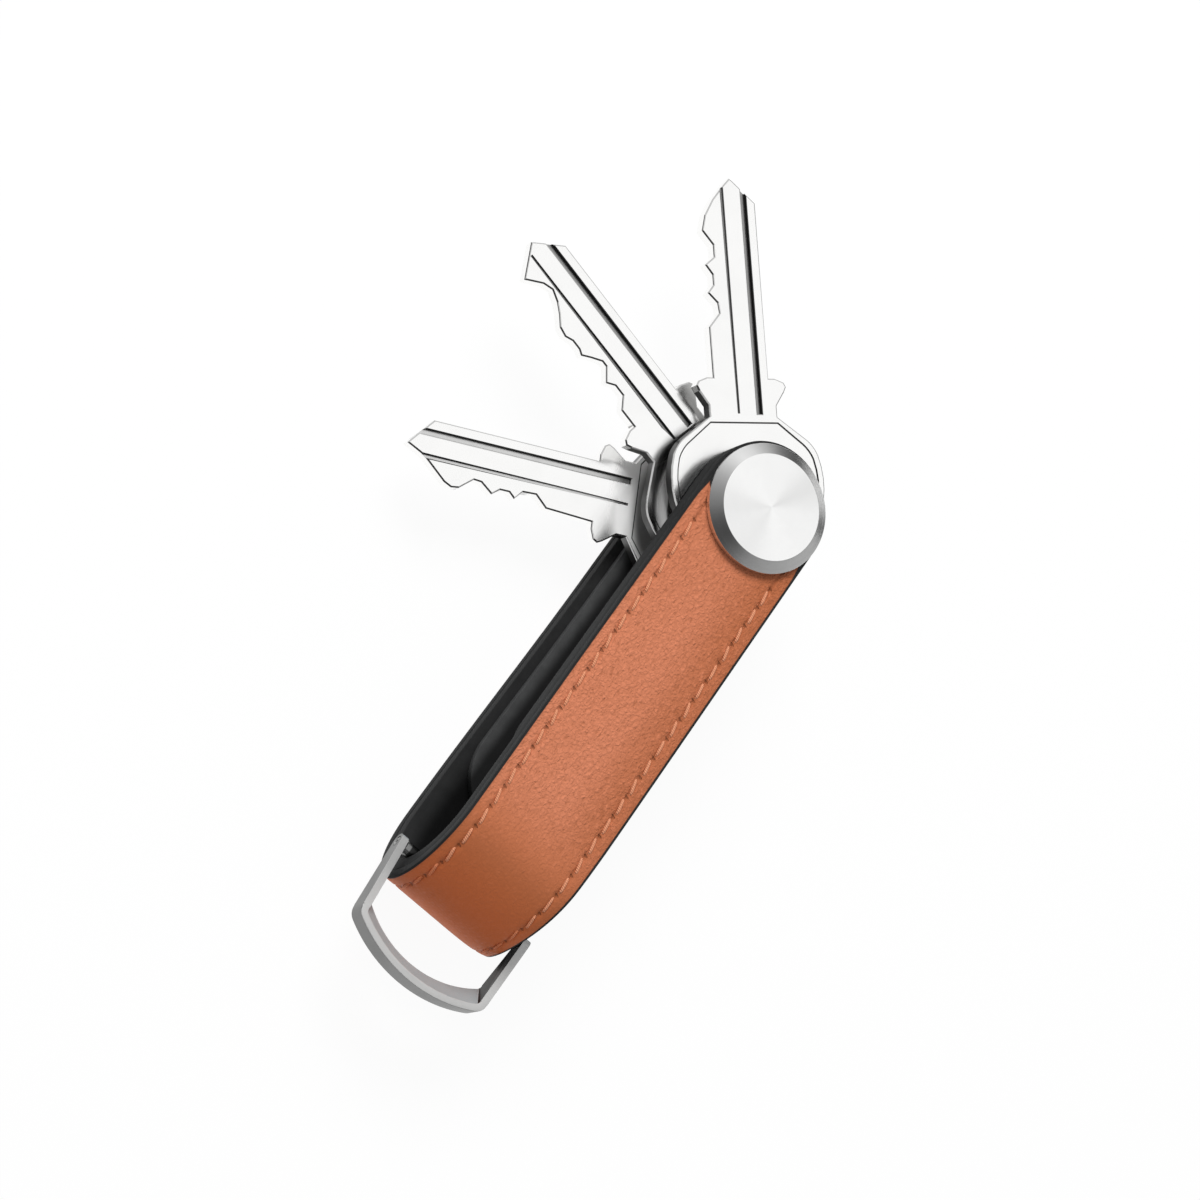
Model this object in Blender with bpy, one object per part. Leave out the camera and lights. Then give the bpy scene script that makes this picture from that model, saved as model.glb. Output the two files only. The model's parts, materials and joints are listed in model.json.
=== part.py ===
"""Key organizer: three keys fan out of a folded leather strap on a post between two discs.

The strap is a tan leather band stitched to a black lining and folded into a U. A stiff pad lies
inside each flap. A post runs through both flaps near their round ends and carries the keys and
their spacers. A screw with a coin slot closes the post from the rear. A steel ring hangs on a
pin in the bend.

Everything is modelled about the pivot: the post stands on the Z axis, the strap runs along +X to
the ring, and the rear disc and the bend of the strap rest on Z = 0. At the end the whole object
is moved so that the middle of its footprint lies on the world origin.
"""

import math

import bmesh
import bpy
from mathutils import Matrix, Vector

# Clearances
RUN_GAP = 0.0001
STACK_GAP = 0.00015
BOND_GAP = 0.0001
CUT_OVERRUN = 0.0004
MERGE_DISTANCE = 0.000004

# Strap: leather outside, lining inside, pads inside the lining
STRAP_WIDTH = 0.0192
LEATHER_THICKNESS = 0.0013
LINING_THICKNESS = 0.0019
PAD_THICKNESS = 0.0013
BEND_CENTRE_X = 0.0604
FLARE_START_X = 0.0170
PAD_LENGTH = 0.0555
PAD_END_ROUND = 0.0090
FRONT_PAD_INSET = 0.0001
REAR_PAD_INSET = 0.0014
STRAP_HOLE_RADIUS = 0.0036

# Discs
DISC_MARGIN = 0.0003
DISC_BEVEL_WIDTH = 0.0017
DISC_WALL_HEIGHT = 0.0009
DISC_BEVEL_HEIGHT = 0.0011
POST_POCKET_DEPTH = 0.0010

# Post and the screw that closes it
POST_RADIUS = 0.0025
POST_BORE_RADIUS = 0.0016
POST_BORE_DEPTH = 0.0125
SCREW_SHANK_LENGTH = 0.0100
SCREW_HEAD_RADIUS = 0.0041
SCREW_HEAD_HEIGHT = 0.0012
SCREW_HEAD_RECESS = 0.0002
COIN_SLOT_WIDTH = 0.0013
COIN_SLOT_DEPTH = 0.0007

# Bushes in the strap holes and washers let into the pads
BUSH_WALL = 0.0009
WASHER_RADIUS = 0.0070
WASHER_THICKNESS = 0.0006
SPACER_RADIUS = 0.0068
REAR_SPACER_THICKNESS = 0.0010
MIDDLE_SPACER_THICKNESS = 0.00175
FRONT_SPACER_THICKNESS = 0.0013

# Keys, measured from the post along the blade and across it
KEY_THICKNESS = 0.0018
BOW_RADIUS = 0.0124
BOW_AHEAD = 0.0047
BOW_ASIDE = 0.0006
BOW_PANEL_MARGIN = 0.0009
BOW_PANEL_DEPTH = 0.00012
BOW_PANEL_END = 0.0134
BOW_PANEL_CORNER = 0.0095
BOW_CORNER = 0.0102
NECK_START = 0.0142
SHOULDER = 0.0198
TIP = 0.0490
SPINE_ASIDE = 0.0051
BLADE_HEIGHT = 0.0090
NECK_HALF_WIDTH = 0.0055
EAR_HALF_WIDTH = 0.0071
EAR_LENGTH = 0.0016
WIDE_GROOVE_ASIDE = 0.0032
WIDE_GROOVE_WIDTH = 0.0007
WIDE_GROOVE_DEPTH = 0.00055
FINE_GROOVE_ASIDE = 0.0002
FINE_GROOVE_WIDTH = 0.0004
FINE_GROOVE_DEPTH = 0.00035
REAR_GROOVE_ASIDE = 0.0018
GROOVE_START = 0.0146
GROOVE_END = 0.0476

# Directions of the three blades, counted from the strap's direction
FRONT_KEY_TURN = math.radians(221.4)
MIDDLE_KEY_TURN = math.radians(259.5)
REAR_KEY_TURN = math.radians(298.9)

# Cuts of each key: place along the blade from the shoulder, and the height left there, as shares
FRONT_KEY_CUT_SHARES = [
    (0.25, 1.00), (0.32, 0.80), (0.37, 0.82), (0.42, 0.98), (0.46, 0.87), (0.51, 0.87),
    (0.56, 0.99), (0.60, 0.82), (0.66, 0.82), (0.73, 1.00), (0.81, 0.93), (0.89, 0.77),
    (0.95, 0.60),
]
MIDDLE_KEY_CUT_SHARES = [
    (0.10, 1.00), (0.15, 0.82), (0.21, 0.82), (0.25, 0.92), (0.31, 0.74), (0.34, 0.74),
    (0.39, 0.86), (0.43, 0.97), (0.46, 0.93), (0.51, 0.93), (0.55, 0.99), (0.60, 0.96),
    (0.65, 0.83), (0.70, 0.73), (0.76, 0.66), (0.81, 0.72), (0.885, 0.94),
]
REAR_KEY_CUT_SHARES = [
    (0.25, 0.96), (0.31, 0.78), (0.38, 0.79), (0.42, 0.93), (0.45, 0.84), (0.50, 0.84),
    (0.54, 0.94), (0.60, 0.79), (0.64, 0.78), (0.71, 0.96), (0.75, 0.98), (0.79, 0.92),
    (0.91, 0.58),
]
TIP_HEIGHT_SHARE = 0.44
TIP_UNDERSIDE_SHARE = 0.38
TIP_ROUND_SHARE = 0.985
SPINE_END_SHARE = 0.88
EAR_ROUND_SHARE = 0.125
EAR_FLANK_SHARE = 0.25
EAR_FRONT_SHARE = 0.33

# Ring, its wedge-shaped bow and its pin
RING_WALL = 0.0011
RING_HEIGHT = 0.0034
RING_TIP_HEIGHT = 0.0024
RING_SIDE_GAP = 0.0005
RING_SPLAY = 0.0006
RING_REACH = 0.0147
RING_BOW_WIDTH = 0.0010
RING_WEDGE_WIDTH = 0.0022
RING_ARC_RADIUS = 0.0210
RING_INNER_ARC_RADIUS = 0.0200
RING_REAR_ARC_RADIUS = 0.0161
RING_CORNER_RADIUS = 0.0019
RING_INNER_CORNER_RADIUS = 0.0009
RING_TURN = math.radians(5)
RING_PIN_RADIUS = 0.0010
RING_SPIGOT_RADIUS = 0.0007
RING_SCREW_RADIUS = 0.00045
RING_SCREW_LENGTH = 0.0060
PIN_DIMPLE_RADIUS = 0.00025
PIN_DIMPLE_DEPTH = 0.0003

# Edges between these turns are shaded round
FLAT_TURN = math.radians(0.5)
SHARP_TURN = math.radians(32)

# Steps of the round shapes
DISC_STEPS = 48
POST_STEPS = 32
PIN_STEPS = 16
BEND_STEPS = 24
ROUND_END_STEPS = 7
FLARE_STEPS = 10
BOW_STEPS = 30
RING_ARC_STEPS = 16
RING_CORNER_STEPS = 5

# Discs as wide as the strap allows, and heights of the stack from the floor up
HALF_WIDTH = STRAP_WIDTH / 2
DISC_RADIUS = HALF_WIDTH - DISC_MARGIN
DISC_FACE_RADIUS = DISC_RADIUS - DISC_BEVEL_WIDTH
DISC_HEIGHT = DISC_WALL_HEIGHT + DISC_BEVEL_HEIGHT
LINING_OUTSIDE = LEATHER_THICKNESS + BOND_GAP
LINING_INSIDE = LINING_OUTSIDE + LINING_THICKNESS
PAD_OUTSIDE = LINING_INSIDE + BOND_GAP
PAD_INSIDE = PAD_OUTSIDE + PAD_THICKNESS
REAR_LEATHER_Z = DISC_HEIGHT + BOND_GAP
REAR_PAD_Z = REAR_LEATHER_Z + PAD_INSIDE
REAR_SPACER_Z = REAR_PAD_Z + STACK_GAP
REAR_KEY_Z = REAR_SPACER_Z + REAR_SPACER_THICKNESS + STACK_GAP
LOWER_SPACER_Z = REAR_KEY_Z + KEY_THICKNESS + STACK_GAP
UPPER_SPACER_Z = LOWER_SPACER_Z + MIDDLE_SPACER_THICKNESS + STACK_GAP
MIDDLE_KEY_Z = UPPER_SPACER_Z + MIDDLE_SPACER_THICKNESS + STACK_GAP
FRONT_SPACER_Z = MIDDLE_KEY_Z + KEY_THICKNESS + STACK_GAP
FRONT_KEY_Z = FRONT_SPACER_Z + FRONT_SPACER_THICKNESS + STACK_GAP
FRONT_PAD_Z = FRONT_KEY_Z + KEY_THICKNESS + STACK_GAP
FRONT_LEATHER_Z = FRONT_PAD_Z + PAD_INSIDE
FRONT_DISC_Z = FRONT_LEATHER_Z + BOND_GAP

# The rear flap drops to the floor at the bend, where the rear disc stands too
FLAP_FLARE = REAR_LEATHER_Z
BEND_RADIUS = FRONT_LEATHER_Z / 2
BEND_CENTRE_Z = BEND_RADIUS
RING_PIN_X = BEND_CENTRE_X + BEND_RADIUS - LINING_INSIDE - RING_PIN_RADIUS - STACK_GAP
RING_PIN_Z = BEND_CENTRE_Z
RING_INNER_Y = HALF_WIDTH + RING_SIDE_GAP
RING_OUTER_Y = RING_INNER_Y + RING_WALL
PIN_INNER_Y = RING_INNER_Y + RING_SPLAY
PIN_OUTER_Y = RING_OUTER_Y + RING_SPLAY
BUSH_BORE_RADIUS = POST_RADIUS + RUN_GAP
BUSH_RADIUS = BUSH_BORE_RADIUS + BUSH_WALL
SHANK_RADIUS = POST_BORE_RADIUS - RUN_GAP
BLADE_LENGTH = TIP - SHOULDER

FINISHES = {
    "tan_leather": ((0.58, 0.22, 0.10), 0.62, 0.0),
    "black_lining": ((0.035, 0.036, 0.038), 0.70, 0.0),
    "pad_black": ((0.045, 0.047, 0.049), 0.60, 0.0),
    "brushed_steel": ((0.62, 0.62, 0.61), 0.30, 1.0),
    "dark_steel": ((0.30, 0.30, 0.30), 0.35, 1.0),
    "key_nickel": ((0.74, 0.73, 0.71), 0.28, 1.0),
    "white_polymer": ((0.75, 0.75, 0.73), 0.50, 0.0),
    "ring_steel": ((0.50, 0.50, 0.49), 0.32, 1.0),
}


def clear_scene():
    for old in list(bpy.data.objects):
        bpy.data.objects.remove(old, do_unlink=True)


def finish_material(name):
    """Return the Principled material of a named finish, made on first use."""
    material = bpy.data.materials.get(name)
    if material is None:
        colour, roughness, metallic = FINISHES[name]
        material = bpy.data.materials.new(name)
        material.use_nodes = True
        shader = material.node_tree.nodes["Principled BSDF"]
        shader.inputs["Base Color"].default_value = (*colour, 1.0)
        shader.inputs["Roughness"].default_value = roughness
        shader.inputs["Metallic"].default_value = metallic
        material.diffuse_color = (*colour, 1.0)
    return material


def add_object(name, bm, finish=None, location=(0, 0, 0), turn=None):
    """Turn a bmesh into a smooth-shaded object at a place, turned by a matrix if one is given."""
    bmesh.ops.recalc_face_normals(bm, faces=bm.faces)
    for face in bm.faces:
        turns = [edge.calc_face_angle(0) for edge in face.edges]
        face.smooth = any(FLAT_TURN < turn < SHARP_TURN for turn in turns)
    mesh = bpy.data.meshes.new(name)
    bm.to_mesh(mesh)
    bm.free()
    mesh.set_sharp_from_angle(angle=SHARP_TURN)
    obj = bpy.data.objects.new(name, mesh)
    bpy.context.scene.collection.objects.link(obj)
    obj.location = location
    if turn is not None:
        obj.rotation_euler = turn.to_euler()
    if finish is not None:
        mesh.materials.append(finish_material(finish))
    return obj


def cut(target, cutter, parent=None):
    """Subtract a guide object from a target with a live exact Boolean."""
    cutter.hide_render = True
    cutter.display_type = "WIRE"
    if parent is not None:
        cutter.parent = parent
    modifier = target.modifiers.new("cut_" + cutter.name, "BOOLEAN")
    modifier.operation = "DIFFERENCE"
    modifier.object = cutter


def turned_bmesh(profile, steps):
    """Spin a closed profile of (radius, height) points about Z; points on the axis become poles."""
    bm = bmesh.new()
    ring = [bm.verts.new((radius, 0, height)) for radius, height in profile]
    edges = [bm.edges.new((ring[i], ring[i - 1])) for i in range(len(ring))]
    on_axis = [edge for edge in edges if all(abs(v.co.x) == 0 for v in edge.verts)]
    for edge in on_axis:
        bm.edges.remove(edge)
    bmesh.ops.spin(bm, geom=bm.verts[:] + bm.edges[:], cent=(0, 0, 0), axis=(0, 0, 1),
                   angle=math.tau, steps=steps, use_merge=True)
    bmesh.ops.remove_doubles(bm, verts=bm.verts, dist=MERGE_DISTANCE)
    return bm


def cylinder_bmesh(radius, low, high, steps):
    return turned_bmesh([(0, low), (radius, low), (radius, high), (0, high)], steps)


def tube_bmesh(bore, radius, low, high, steps):
    return turned_bmesh([(bore, low), (radius, low), (radius, high), (bore, high)], steps)


def box_bmesh(low, high):
    bm = bmesh.new()
    bmesh.ops.create_cube(bm, size=1)
    for vert in bm.verts:
        vert.co = [low[i] + (vert.co[i] + 0.5) * (high[i] - low[i]) for i in range(3)]
    return bm


def plate_bmesh(outline, low, high):
    """Extrude a flat outline of (x, y) points from one height to another."""
    bm = bmesh.new()
    face = bm.faces.new([bm.verts.new((x, y, low)) for x, y in outline])
    grown = bmesh.ops.extrude_face_region(bm, geom=[face])
    lifted = [item for item in grown["geom"] if isinstance(item, bmesh.types.BMVert)]
    bmesh.ops.translate(bm, verts=lifted, vec=(0, 0, high - low))
    return bm


def loft_bmesh(sections):
    """Join rings of points, all of one length, into a closed body with flat ends."""
    bm = bmesh.new()
    rings = [[bm.verts.new(point) for point in section] for section in sections]
    count = len(rings[0])
    for near, far in zip(rings, rings[1:]):
        for i in range(count):
            j = (i + 1) % count
            bm.faces.new((near[i], near[j], far[j], far[i]))
    bm.faces.new(rings[0])
    bm.faces.new(list(reversed(rings[-1])))
    return bm


def arc_points(centre, radius, start, end, steps):
    """Points on a flat arc, both ends included."""
    angles = [start + (end - start) * i / steps for i in range(steps + 1)]
    return [(centre[0] + radius * math.cos(a), centre[1] + radius * math.sin(a)) for a in angles]


def flap_drop(x):
    """How far the rear flap has dropped at x: nothing at the pivot, all of the flare at the bend."""
    share = min(max((x - FLARE_START_X) / (BEND_CENTRE_X - FLARE_START_X), 0), 1)
    return FLAP_FLARE * (1 - math.cos(math.pi * share)) / 2


def rear_flap_slope(x):
    """Slope dz/dx of the rear flap's outer face."""
    share = min(max((x - FLARE_START_X) / (BEND_CENTRE_X - FLARE_START_X), 0), 1)
    run = BEND_CENTRE_X - FLARE_START_X
    return -FLAP_FLARE * math.pi / run * math.sin(math.pi * share) / 2


def round_end(radius, half_width):
    """Places before the pivot and the half widths there, for a flap's round end."""
    angles = [(i + 0.5) * math.pi / 2 / (ROUND_END_STEPS - 0.5) for i in range(ROUND_END_STEPS)]
    return [(-radius * math.cos(a), half_width * math.sin(a)) for a in angles]


def flap_stations():
    """Places along the flaring part of the rear flap, from the pivot's side to the bend."""
    run = BEND_CENTRE_X - FLARE_START_X
    return [FLARE_START_X + run * i / FLARE_STEPS for i in range(FLARE_STEPS)]


def band_section(x, z, normal, half_width, near, far):
    """One rectangle across the strap: from depth near to depth far along the inward normal."""
    inner = (x + normal[0] * far, z + normal[1] * far)
    outer = (x + normal[0] * near, z + normal[1] * near)
    return [
        (outer[0], -half_width, outer[1]),
        (outer[0], half_width, outer[1]),
        (inner[0], half_width, inner[1]),
        (inner[0], -half_width, inner[1]),
    ]


def folded_band_bmesh(near, far):
    """A band folded into the U, between two depths below the leather's outer face."""
    sections = []
    for x, half in round_end(HALF_WIDTH, HALF_WIDTH):
        sections.append(band_section(x, FRONT_LEATHER_Z, (0, -1), half, near, far))
    for x in flap_stations():
        sections.append(band_section(x, FRONT_LEATHER_Z, (0, -1), HALF_WIDTH, near, far))
    for i in range(BEND_STEPS + 1):
        angle = math.pi / 2 - math.pi * i / BEND_STEPS
        normal = (-math.cos(angle), -math.sin(angle))
        x = BEND_CENTRE_X + BEND_RADIUS * math.cos(angle)
        z = BEND_CENTRE_Z + BEND_RADIUS * math.sin(angle)
        sections.append(band_section(x, z, normal, HALF_WIDTH, near, far))
    for x in reversed(flap_stations()):
        sections.append(rear_section(x, HALF_WIDTH, near, far))
    for x, half in reversed(round_end(HALF_WIDTH, HALF_WIDTH)):
        sections.append(band_section(x, REAR_LEATHER_Z, (0, 1), half, near, far))
    return loft_bmesh(sections)


def rear_section(x, half_width, near, far):
    """A rectangle across the rear flap, square to its flaring face."""
    slope = rear_flap_slope(x)
    length = math.hypot(1, slope)
    normal = (-slope / length, 1 / length)
    return band_section(x, REAR_LEATHER_Z - flap_drop(x), normal, half_width, near, far)


def pad_end(x, half_width):
    """Half width of a pad near its rounded far end."""
    start = PAD_LENGTH - PAD_END_ROUND
    if x <= start:
        return half_width
    return half_width * math.sqrt(max(1 - ((x - start) / PAD_END_ROUND) ** 2, 0))


def pad_places():
    """Places along a pad beyond the pivot: even steps, then closer ones round the far end."""
    start = PAD_LENGTH - PAD_END_ROUND
    even = [x for x in flap_stations() if x < start]
    angles = [i * math.pi / 2 / ROUND_END_STEPS for i in range(ROUND_END_STEPS)]
    return even + [start + PAD_END_ROUND * math.sin(a) for a in angles]


def pad_bmesh(is_front):
    """A stiff pad along one flap, with a round end at the pivot and one towards the bend."""
    half_width = HALF_WIDTH - (FRONT_PAD_INSET if is_front else REAR_PAD_INSET)
    sections = []
    for x, half in round_end(half_width, half_width):
        sections.append(pad_section(is_front, x, half))
    for x in pad_places():
        sections.append(pad_section(is_front, x, pad_end(x, half_width)))
    return loft_bmesh(sections)


def pad_section(is_front, x, half_width):
    if is_front:
        return band_section(x, FRONT_LEATHER_Z, (0, -1), half_width, PAD_OUTSIDE, PAD_INSIDE)
    return rear_section(x, half_width, PAD_OUTSIDE, PAD_INSIDE)


def make_strap():
    """Leather, lining and pads, with the hole for the bushes through all of them."""
    leather = add_object("leather_band", folded_band_bmesh(0, LEATHER_THICKNESS), "tan_leather")
    lining = add_object("lining_band", folded_band_bmesh(LINING_OUTSIDE, LINING_INSIDE), "black_lining")
    front_pad = add_object("front_pad", pad_bmesh(True), "pad_black")
    rear_pad = add_object("rear_pad", pad_bmesh(False), "pad_black")
    hole = cylinder_bmesh(STRAP_HOLE_RADIUS, -CUT_OVERRUN, FRONT_LEATHER_Z + CUT_OVERRUN, POST_STEPS)
    hole_guide = add_object("strap_hole_guide", hole)
    for piece in (leather, lining, front_pad, rear_pad):
        cut(piece, hole_guide)
    recess = WASHER_THICKNESS + RUN_GAP
    radius = WASHER_RADIUS + RUN_GAP
    front_low = FRONT_PAD_Z - CUT_OVERRUN
    cut(front_pad, add_object("front_recess_guide",
                              cylinder_bmesh(radius, front_low, FRONT_PAD_Z + recess, POST_STEPS)))
    rear_high = REAR_PAD_Z + CUT_OVERRUN
    cut(rear_pad, add_object("rear_recess_guide",
                             cylinder_bmesh(radius, REAR_PAD_Z - recess, rear_high, POST_STEPS)))
    return [leather, lining, front_pad, rear_pad]


def make_discs():
    """The bevelled front disc with a blind pocket for the post, and the rear one round the screw."""
    top = FRONT_DISC_Z + DISC_HEIGHT
    pocket_top = FRONT_DISC_Z + POST_POCKET_DEPTH
    pocket = POST_RADIUS + RUN_GAP
    front = add_object("front_disc", turned_bmesh([
        (0, pocket_top), (pocket, pocket_top), (pocket, FRONT_DISC_Z), (DISC_RADIUS, FRONT_DISC_Z),
        (DISC_RADIUS, FRONT_DISC_Z + DISC_WALL_HEIGHT), (DISC_FACE_RADIUS, top), (0, top),
    ], DISC_STEPS), "brushed_steel")
    seat = SCREW_HEAD_RECESS + SCREW_HEAD_HEIGHT + STACK_GAP
    head_room = SCREW_HEAD_RADIUS + RUN_GAP
    rear = add_object("rear_disc", turned_bmesh([
        (head_room, 0), (DISC_FACE_RADIUS, 0), (DISC_RADIUS, DISC_BEVEL_HEIGHT),
        (DISC_RADIUS, DISC_HEIGHT), (pocket, DISC_HEIGHT), (pocket, seat), (head_room, seat),
    ], DISC_STEPS), "brushed_steel")
    return [front, rear]


def make_post_and_screw():
    """The hollow post hung in the front disc, and the coin-slot screw that closes it."""
    seat = SCREW_HEAD_RECESS + SCREW_HEAD_HEIGHT
    post_low = seat + STACK_GAP + RUN_GAP
    post_high = FRONT_DISC_Z + POST_POCKET_DEPTH - RUN_GAP
    bore_top = post_low + POST_BORE_DEPTH
    post = add_object("pivot_post", turned_bmesh([
        (POST_BORE_RADIUS, post_low), (POST_RADIUS, post_low), (POST_RADIUS, post_high),
        (0, post_high), (0, bore_top), (POST_BORE_RADIUS, bore_top),
    ], POST_STEPS), "dark_steel")
    shank_top = seat + SCREW_SHANK_LENGTH
    screw = add_object("lock_screw", turned_bmesh([
        (0, SCREW_HEAD_RECESS), (SCREW_HEAD_RADIUS, SCREW_HEAD_RECESS), (SCREW_HEAD_RADIUS, seat),
        (SHANK_RADIUS, seat), (SHANK_RADIUS, shank_top), (0, shank_top),
    ], POST_STEPS), "dark_steel")
    reach = SCREW_HEAD_RADIUS + CUT_OVERRUN
    slot_low = (-reach, -COIN_SLOT_WIDTH / 2, SCREW_HEAD_RECESS - CUT_OVERRUN)
    slot_high = (reach, COIN_SLOT_WIDTH / 2, SCREW_HEAD_RECESS + COIN_SLOT_DEPTH)
    cut(screw, add_object("coin_slot_guide", box_bmesh(slot_low, slot_high)))
    return [post, screw]


def make_rings_on_post():
    """Bushes through the flaps, washers let into the pads and spacers between the keys."""
    rear_washer_z = REAR_PAD_Z - WASHER_THICKNESS
    front_bush_z = FRONT_PAD_Z + WASHER_THICKNESS + STACK_GAP
    front_bush_length = FRONT_LEATHER_Z - front_bush_z
    rear_bush_length = rear_washer_z - STACK_GAP - REAR_LEATHER_Z
    rings = [
        ("front_bush", BUSH_RADIUS, front_bush_z, front_bush_length, "dark_steel"),
        ("rear_bush", BUSH_RADIUS, REAR_LEATHER_Z, rear_bush_length, "dark_steel"),
        ("front_washer", WASHER_RADIUS, FRONT_PAD_Z, WASHER_THICKNESS, "white_polymer"),
        ("rear_washer", WASHER_RADIUS, rear_washer_z, WASHER_THICKNESS, "white_polymer"),
        ("rear_spacer", SPACER_RADIUS, REAR_SPACER_Z, REAR_SPACER_THICKNESS, "dark_steel"),
        ("lower_spacer", SPACER_RADIUS, LOWER_SPACER_Z, MIDDLE_SPACER_THICKNESS, "dark_steel"),
        ("upper_spacer", SPACER_RADIUS, UPPER_SPACER_Z, MIDDLE_SPACER_THICKNESS, "dark_steel"),
        ("front_spacer", SPACER_RADIUS, FRONT_SPACER_Z, FRONT_SPACER_THICKNESS, "dark_steel"),
    ]
    return [add_object(name, tube_bmesh(BUSH_BORE_RADIUS, radius, low, low + length, POST_STEPS), finish)
            for name, radius, low, length, finish in rings]


def key_outline(cut_shares):
    """Outline of a key: bow, neck, ears, spine, tip and cuts, with the post at the origin.

    X runs along the blade. The cut edge lies at +Y and the straight spine at -Y.
    """
    centre = (BOW_AHEAD, -BOW_ASIDE)
    neck_mid = -BOW_ASIDE
    reach = math.acos((BOW_CORNER - BOW_AHEAD) / BOW_RADIUS)
    bow = [(NECK_START, neck_mid + NECK_HALF_WIDTH)]
    bow += arc_points(centre, BOW_RADIUS, reach, math.tau - reach, BOW_STEPS)
    bow += [(NECK_START, neck_mid - NECK_HALF_WIDTH)]
    spine = -SPINE_ASIDE
    cut_edge = spine + BLADE_HEIGHT
    ear_start = SHOULDER - EAR_LENGTH
    ear_high = neck_mid + EAR_HALF_WIDTH
    ear_low = neck_mid - EAR_HALF_WIDTH
    rounding = EAR_LENGTH * EAR_ROUND_SHARE
    flank = EAR_LENGTH * EAR_FLANK_SHARE
    ear_front = SHOULDER - EAR_LENGTH * EAR_FRONT_SHARE
    lower_side = [
        (NECK_START + EAR_LENGTH, neck_mid - NECK_HALF_WIDTH),
        (ear_start - flank, ear_low + rounding),
        (ear_start + flank, ear_low - rounding),
        (ear_front, ear_low + rounding),
        (SHOULDER, ear_low + EAR_LENGTH),
        (SHOULDER, spine),
        (SHOULDER + BLADE_LENGTH * SPINE_END_SHARE, spine),
        (TIP - BLADE_LENGTH * (1 - TIP_ROUND_SHARE), spine + BLADE_HEIGHT * TIP_UNDERSIDE_SHARE),
        (TIP, spine + BLADE_HEIGHT * TIP_HEIGHT_SHARE),
    ]
    cuts = [(SHOULDER + BLADE_LENGTH * along, spine + BLADE_HEIGHT * height)
            for along, height in reversed(cut_shares)]
    upper_side = [
        (SHOULDER, cut_edge),
        (SHOULDER, ear_high - EAR_LENGTH),
        (ear_front, ear_high - rounding),
        (ear_start + flank, ear_high + rounding),
        (ear_start - flank, ear_high - rounding),
        (NECK_START + EAR_LENGTH, neck_mid + NECK_HALF_WIDTH),
    ]
    return bow + lower_side + cuts + upper_side


def panel_outline():
    """Outline of the shallow panel in the bow: a circle drawn in to a straight side at the neck."""
    radius = BOW_RADIUS - BOW_PANEL_MARGIN
    reach = math.acos((BOW_PANEL_CORNER - BOW_AHEAD) / radius)
    circle = arc_points((BOW_AHEAD, -BOW_ASIDE), radius, reach, math.tau - reach, BOW_STEPS)
    ends = [(BOW_PANEL_END, side * NECK_HALF_WIDTH - BOW_ASIDE) for side in (-1, 1)]
    return circle + ends


def key_guides():
    """The guides that cut the hole, the panels and the grooves, shared by all keys."""
    faces = ((1, KEY_THICKNESS), (-1, 0))
    guides = [("key_hole_guide", cylinder_bmesh(BUSH_BORE_RADIUS, -CUT_OVERRUN,
                                                KEY_THICKNESS + CUT_OVERRUN, POST_STEPS))]
    for side, face in faces:
        ends = sorted((face + side * CUT_OVERRUN, face - side * BOW_PANEL_DEPTH))
        guides.append(("panel_guide", plate_bmesh(panel_outline(), *ends)))
    grooves = (
        (1, KEY_THICKNESS, -WIDE_GROOVE_ASIDE, WIDE_GROOVE_WIDTH, WIDE_GROOVE_DEPTH),
        (1, KEY_THICKNESS, FINE_GROOVE_ASIDE, FINE_GROOVE_WIDTH, FINE_GROOVE_DEPTH),
        (-1, 0, -REAR_GROOVE_ASIDE, WIDE_GROOVE_WIDTH, WIDE_GROOVE_DEPTH),
    )
    for side, face, aside, width, depth in grooves:
        ends = sorted((face + side * CUT_OVERRUN, face - side * depth))
        low = (GROOVE_START, aside - width / 2, ends[0])
        high = (GROOVE_END, aside + width / 2, ends[1])
        guides.append(("groove_guide", box_bmesh(low, high)))
    return guides


def make_keys():
    """Three keys of one blank with their own cuts, turned out about the post."""
    places = [
        ("key_front", FRONT_KEY_TURN, FRONT_KEY_Z, FRONT_KEY_CUT_SHARES),
        ("key_middle", MIDDLE_KEY_TURN, MIDDLE_KEY_Z, MIDDLE_KEY_CUT_SHARES),
        ("key_rear", REAR_KEY_TURN, REAR_KEY_Z, REAR_KEY_CUT_SHARES),
    ]
    keys = []
    for name, turn, height, cut_shares in places:
        key = add_object(name, plate_bmesh(key_outline(cut_shares), 0, KEY_THICKNESS), "key_nickel",
                         (0, 0, height), Matrix.Rotation(turn, 3, "Z"))
        for guide_name, guide in key_guides():
            cut(key, add_object(name + "_" + guide_name, guide), key)
        keys.append(key)
    return keys


def ring_rail(half_width, apex, arc_radius, corner_radius):
    """Half of one edge line of the ring in plan: leg, corner and arc up to the apex.

    Places count from the pin. The legs splay a little towards it.
    """
    arc_x = apex - arc_radius
    corner_y = half_width - corner_radius
    corner_x = arc_x + math.sqrt((arc_radius - corner_radius) ** 2 - corner_y ** 2)
    lean = math.atan2(corner_y, corner_x - arc_x)
    tip = [x for x, half in round_end(RING_TIP_HEIGHT / 2, 0)]
    leg = [(x, half_width + RING_SPLAY * (1 - x / corner_x)) for x in tip]
    corner = arc_points((corner_x, corner_y), corner_radius, math.pi / 2, lean, RING_CORNER_STEPS)
    arc = arc_points((arc_x, 0), arc_radius, lean, 0, RING_ARC_STEPS)[1:]
    return leg + corner + arc


def ring_half_height(x):
    """Half height of the ring at x from the pin: round at the tip, then growing to the bow."""
    tip = RING_TIP_HEIGHT / 2
    if x < 0:
        return math.sqrt(tip ** 2 - x ** 2)
    return tip + (RING_HEIGHT / 2 - tip) * min(x / (RING_REACH - RING_BOW_WIDTH), 1)


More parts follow.
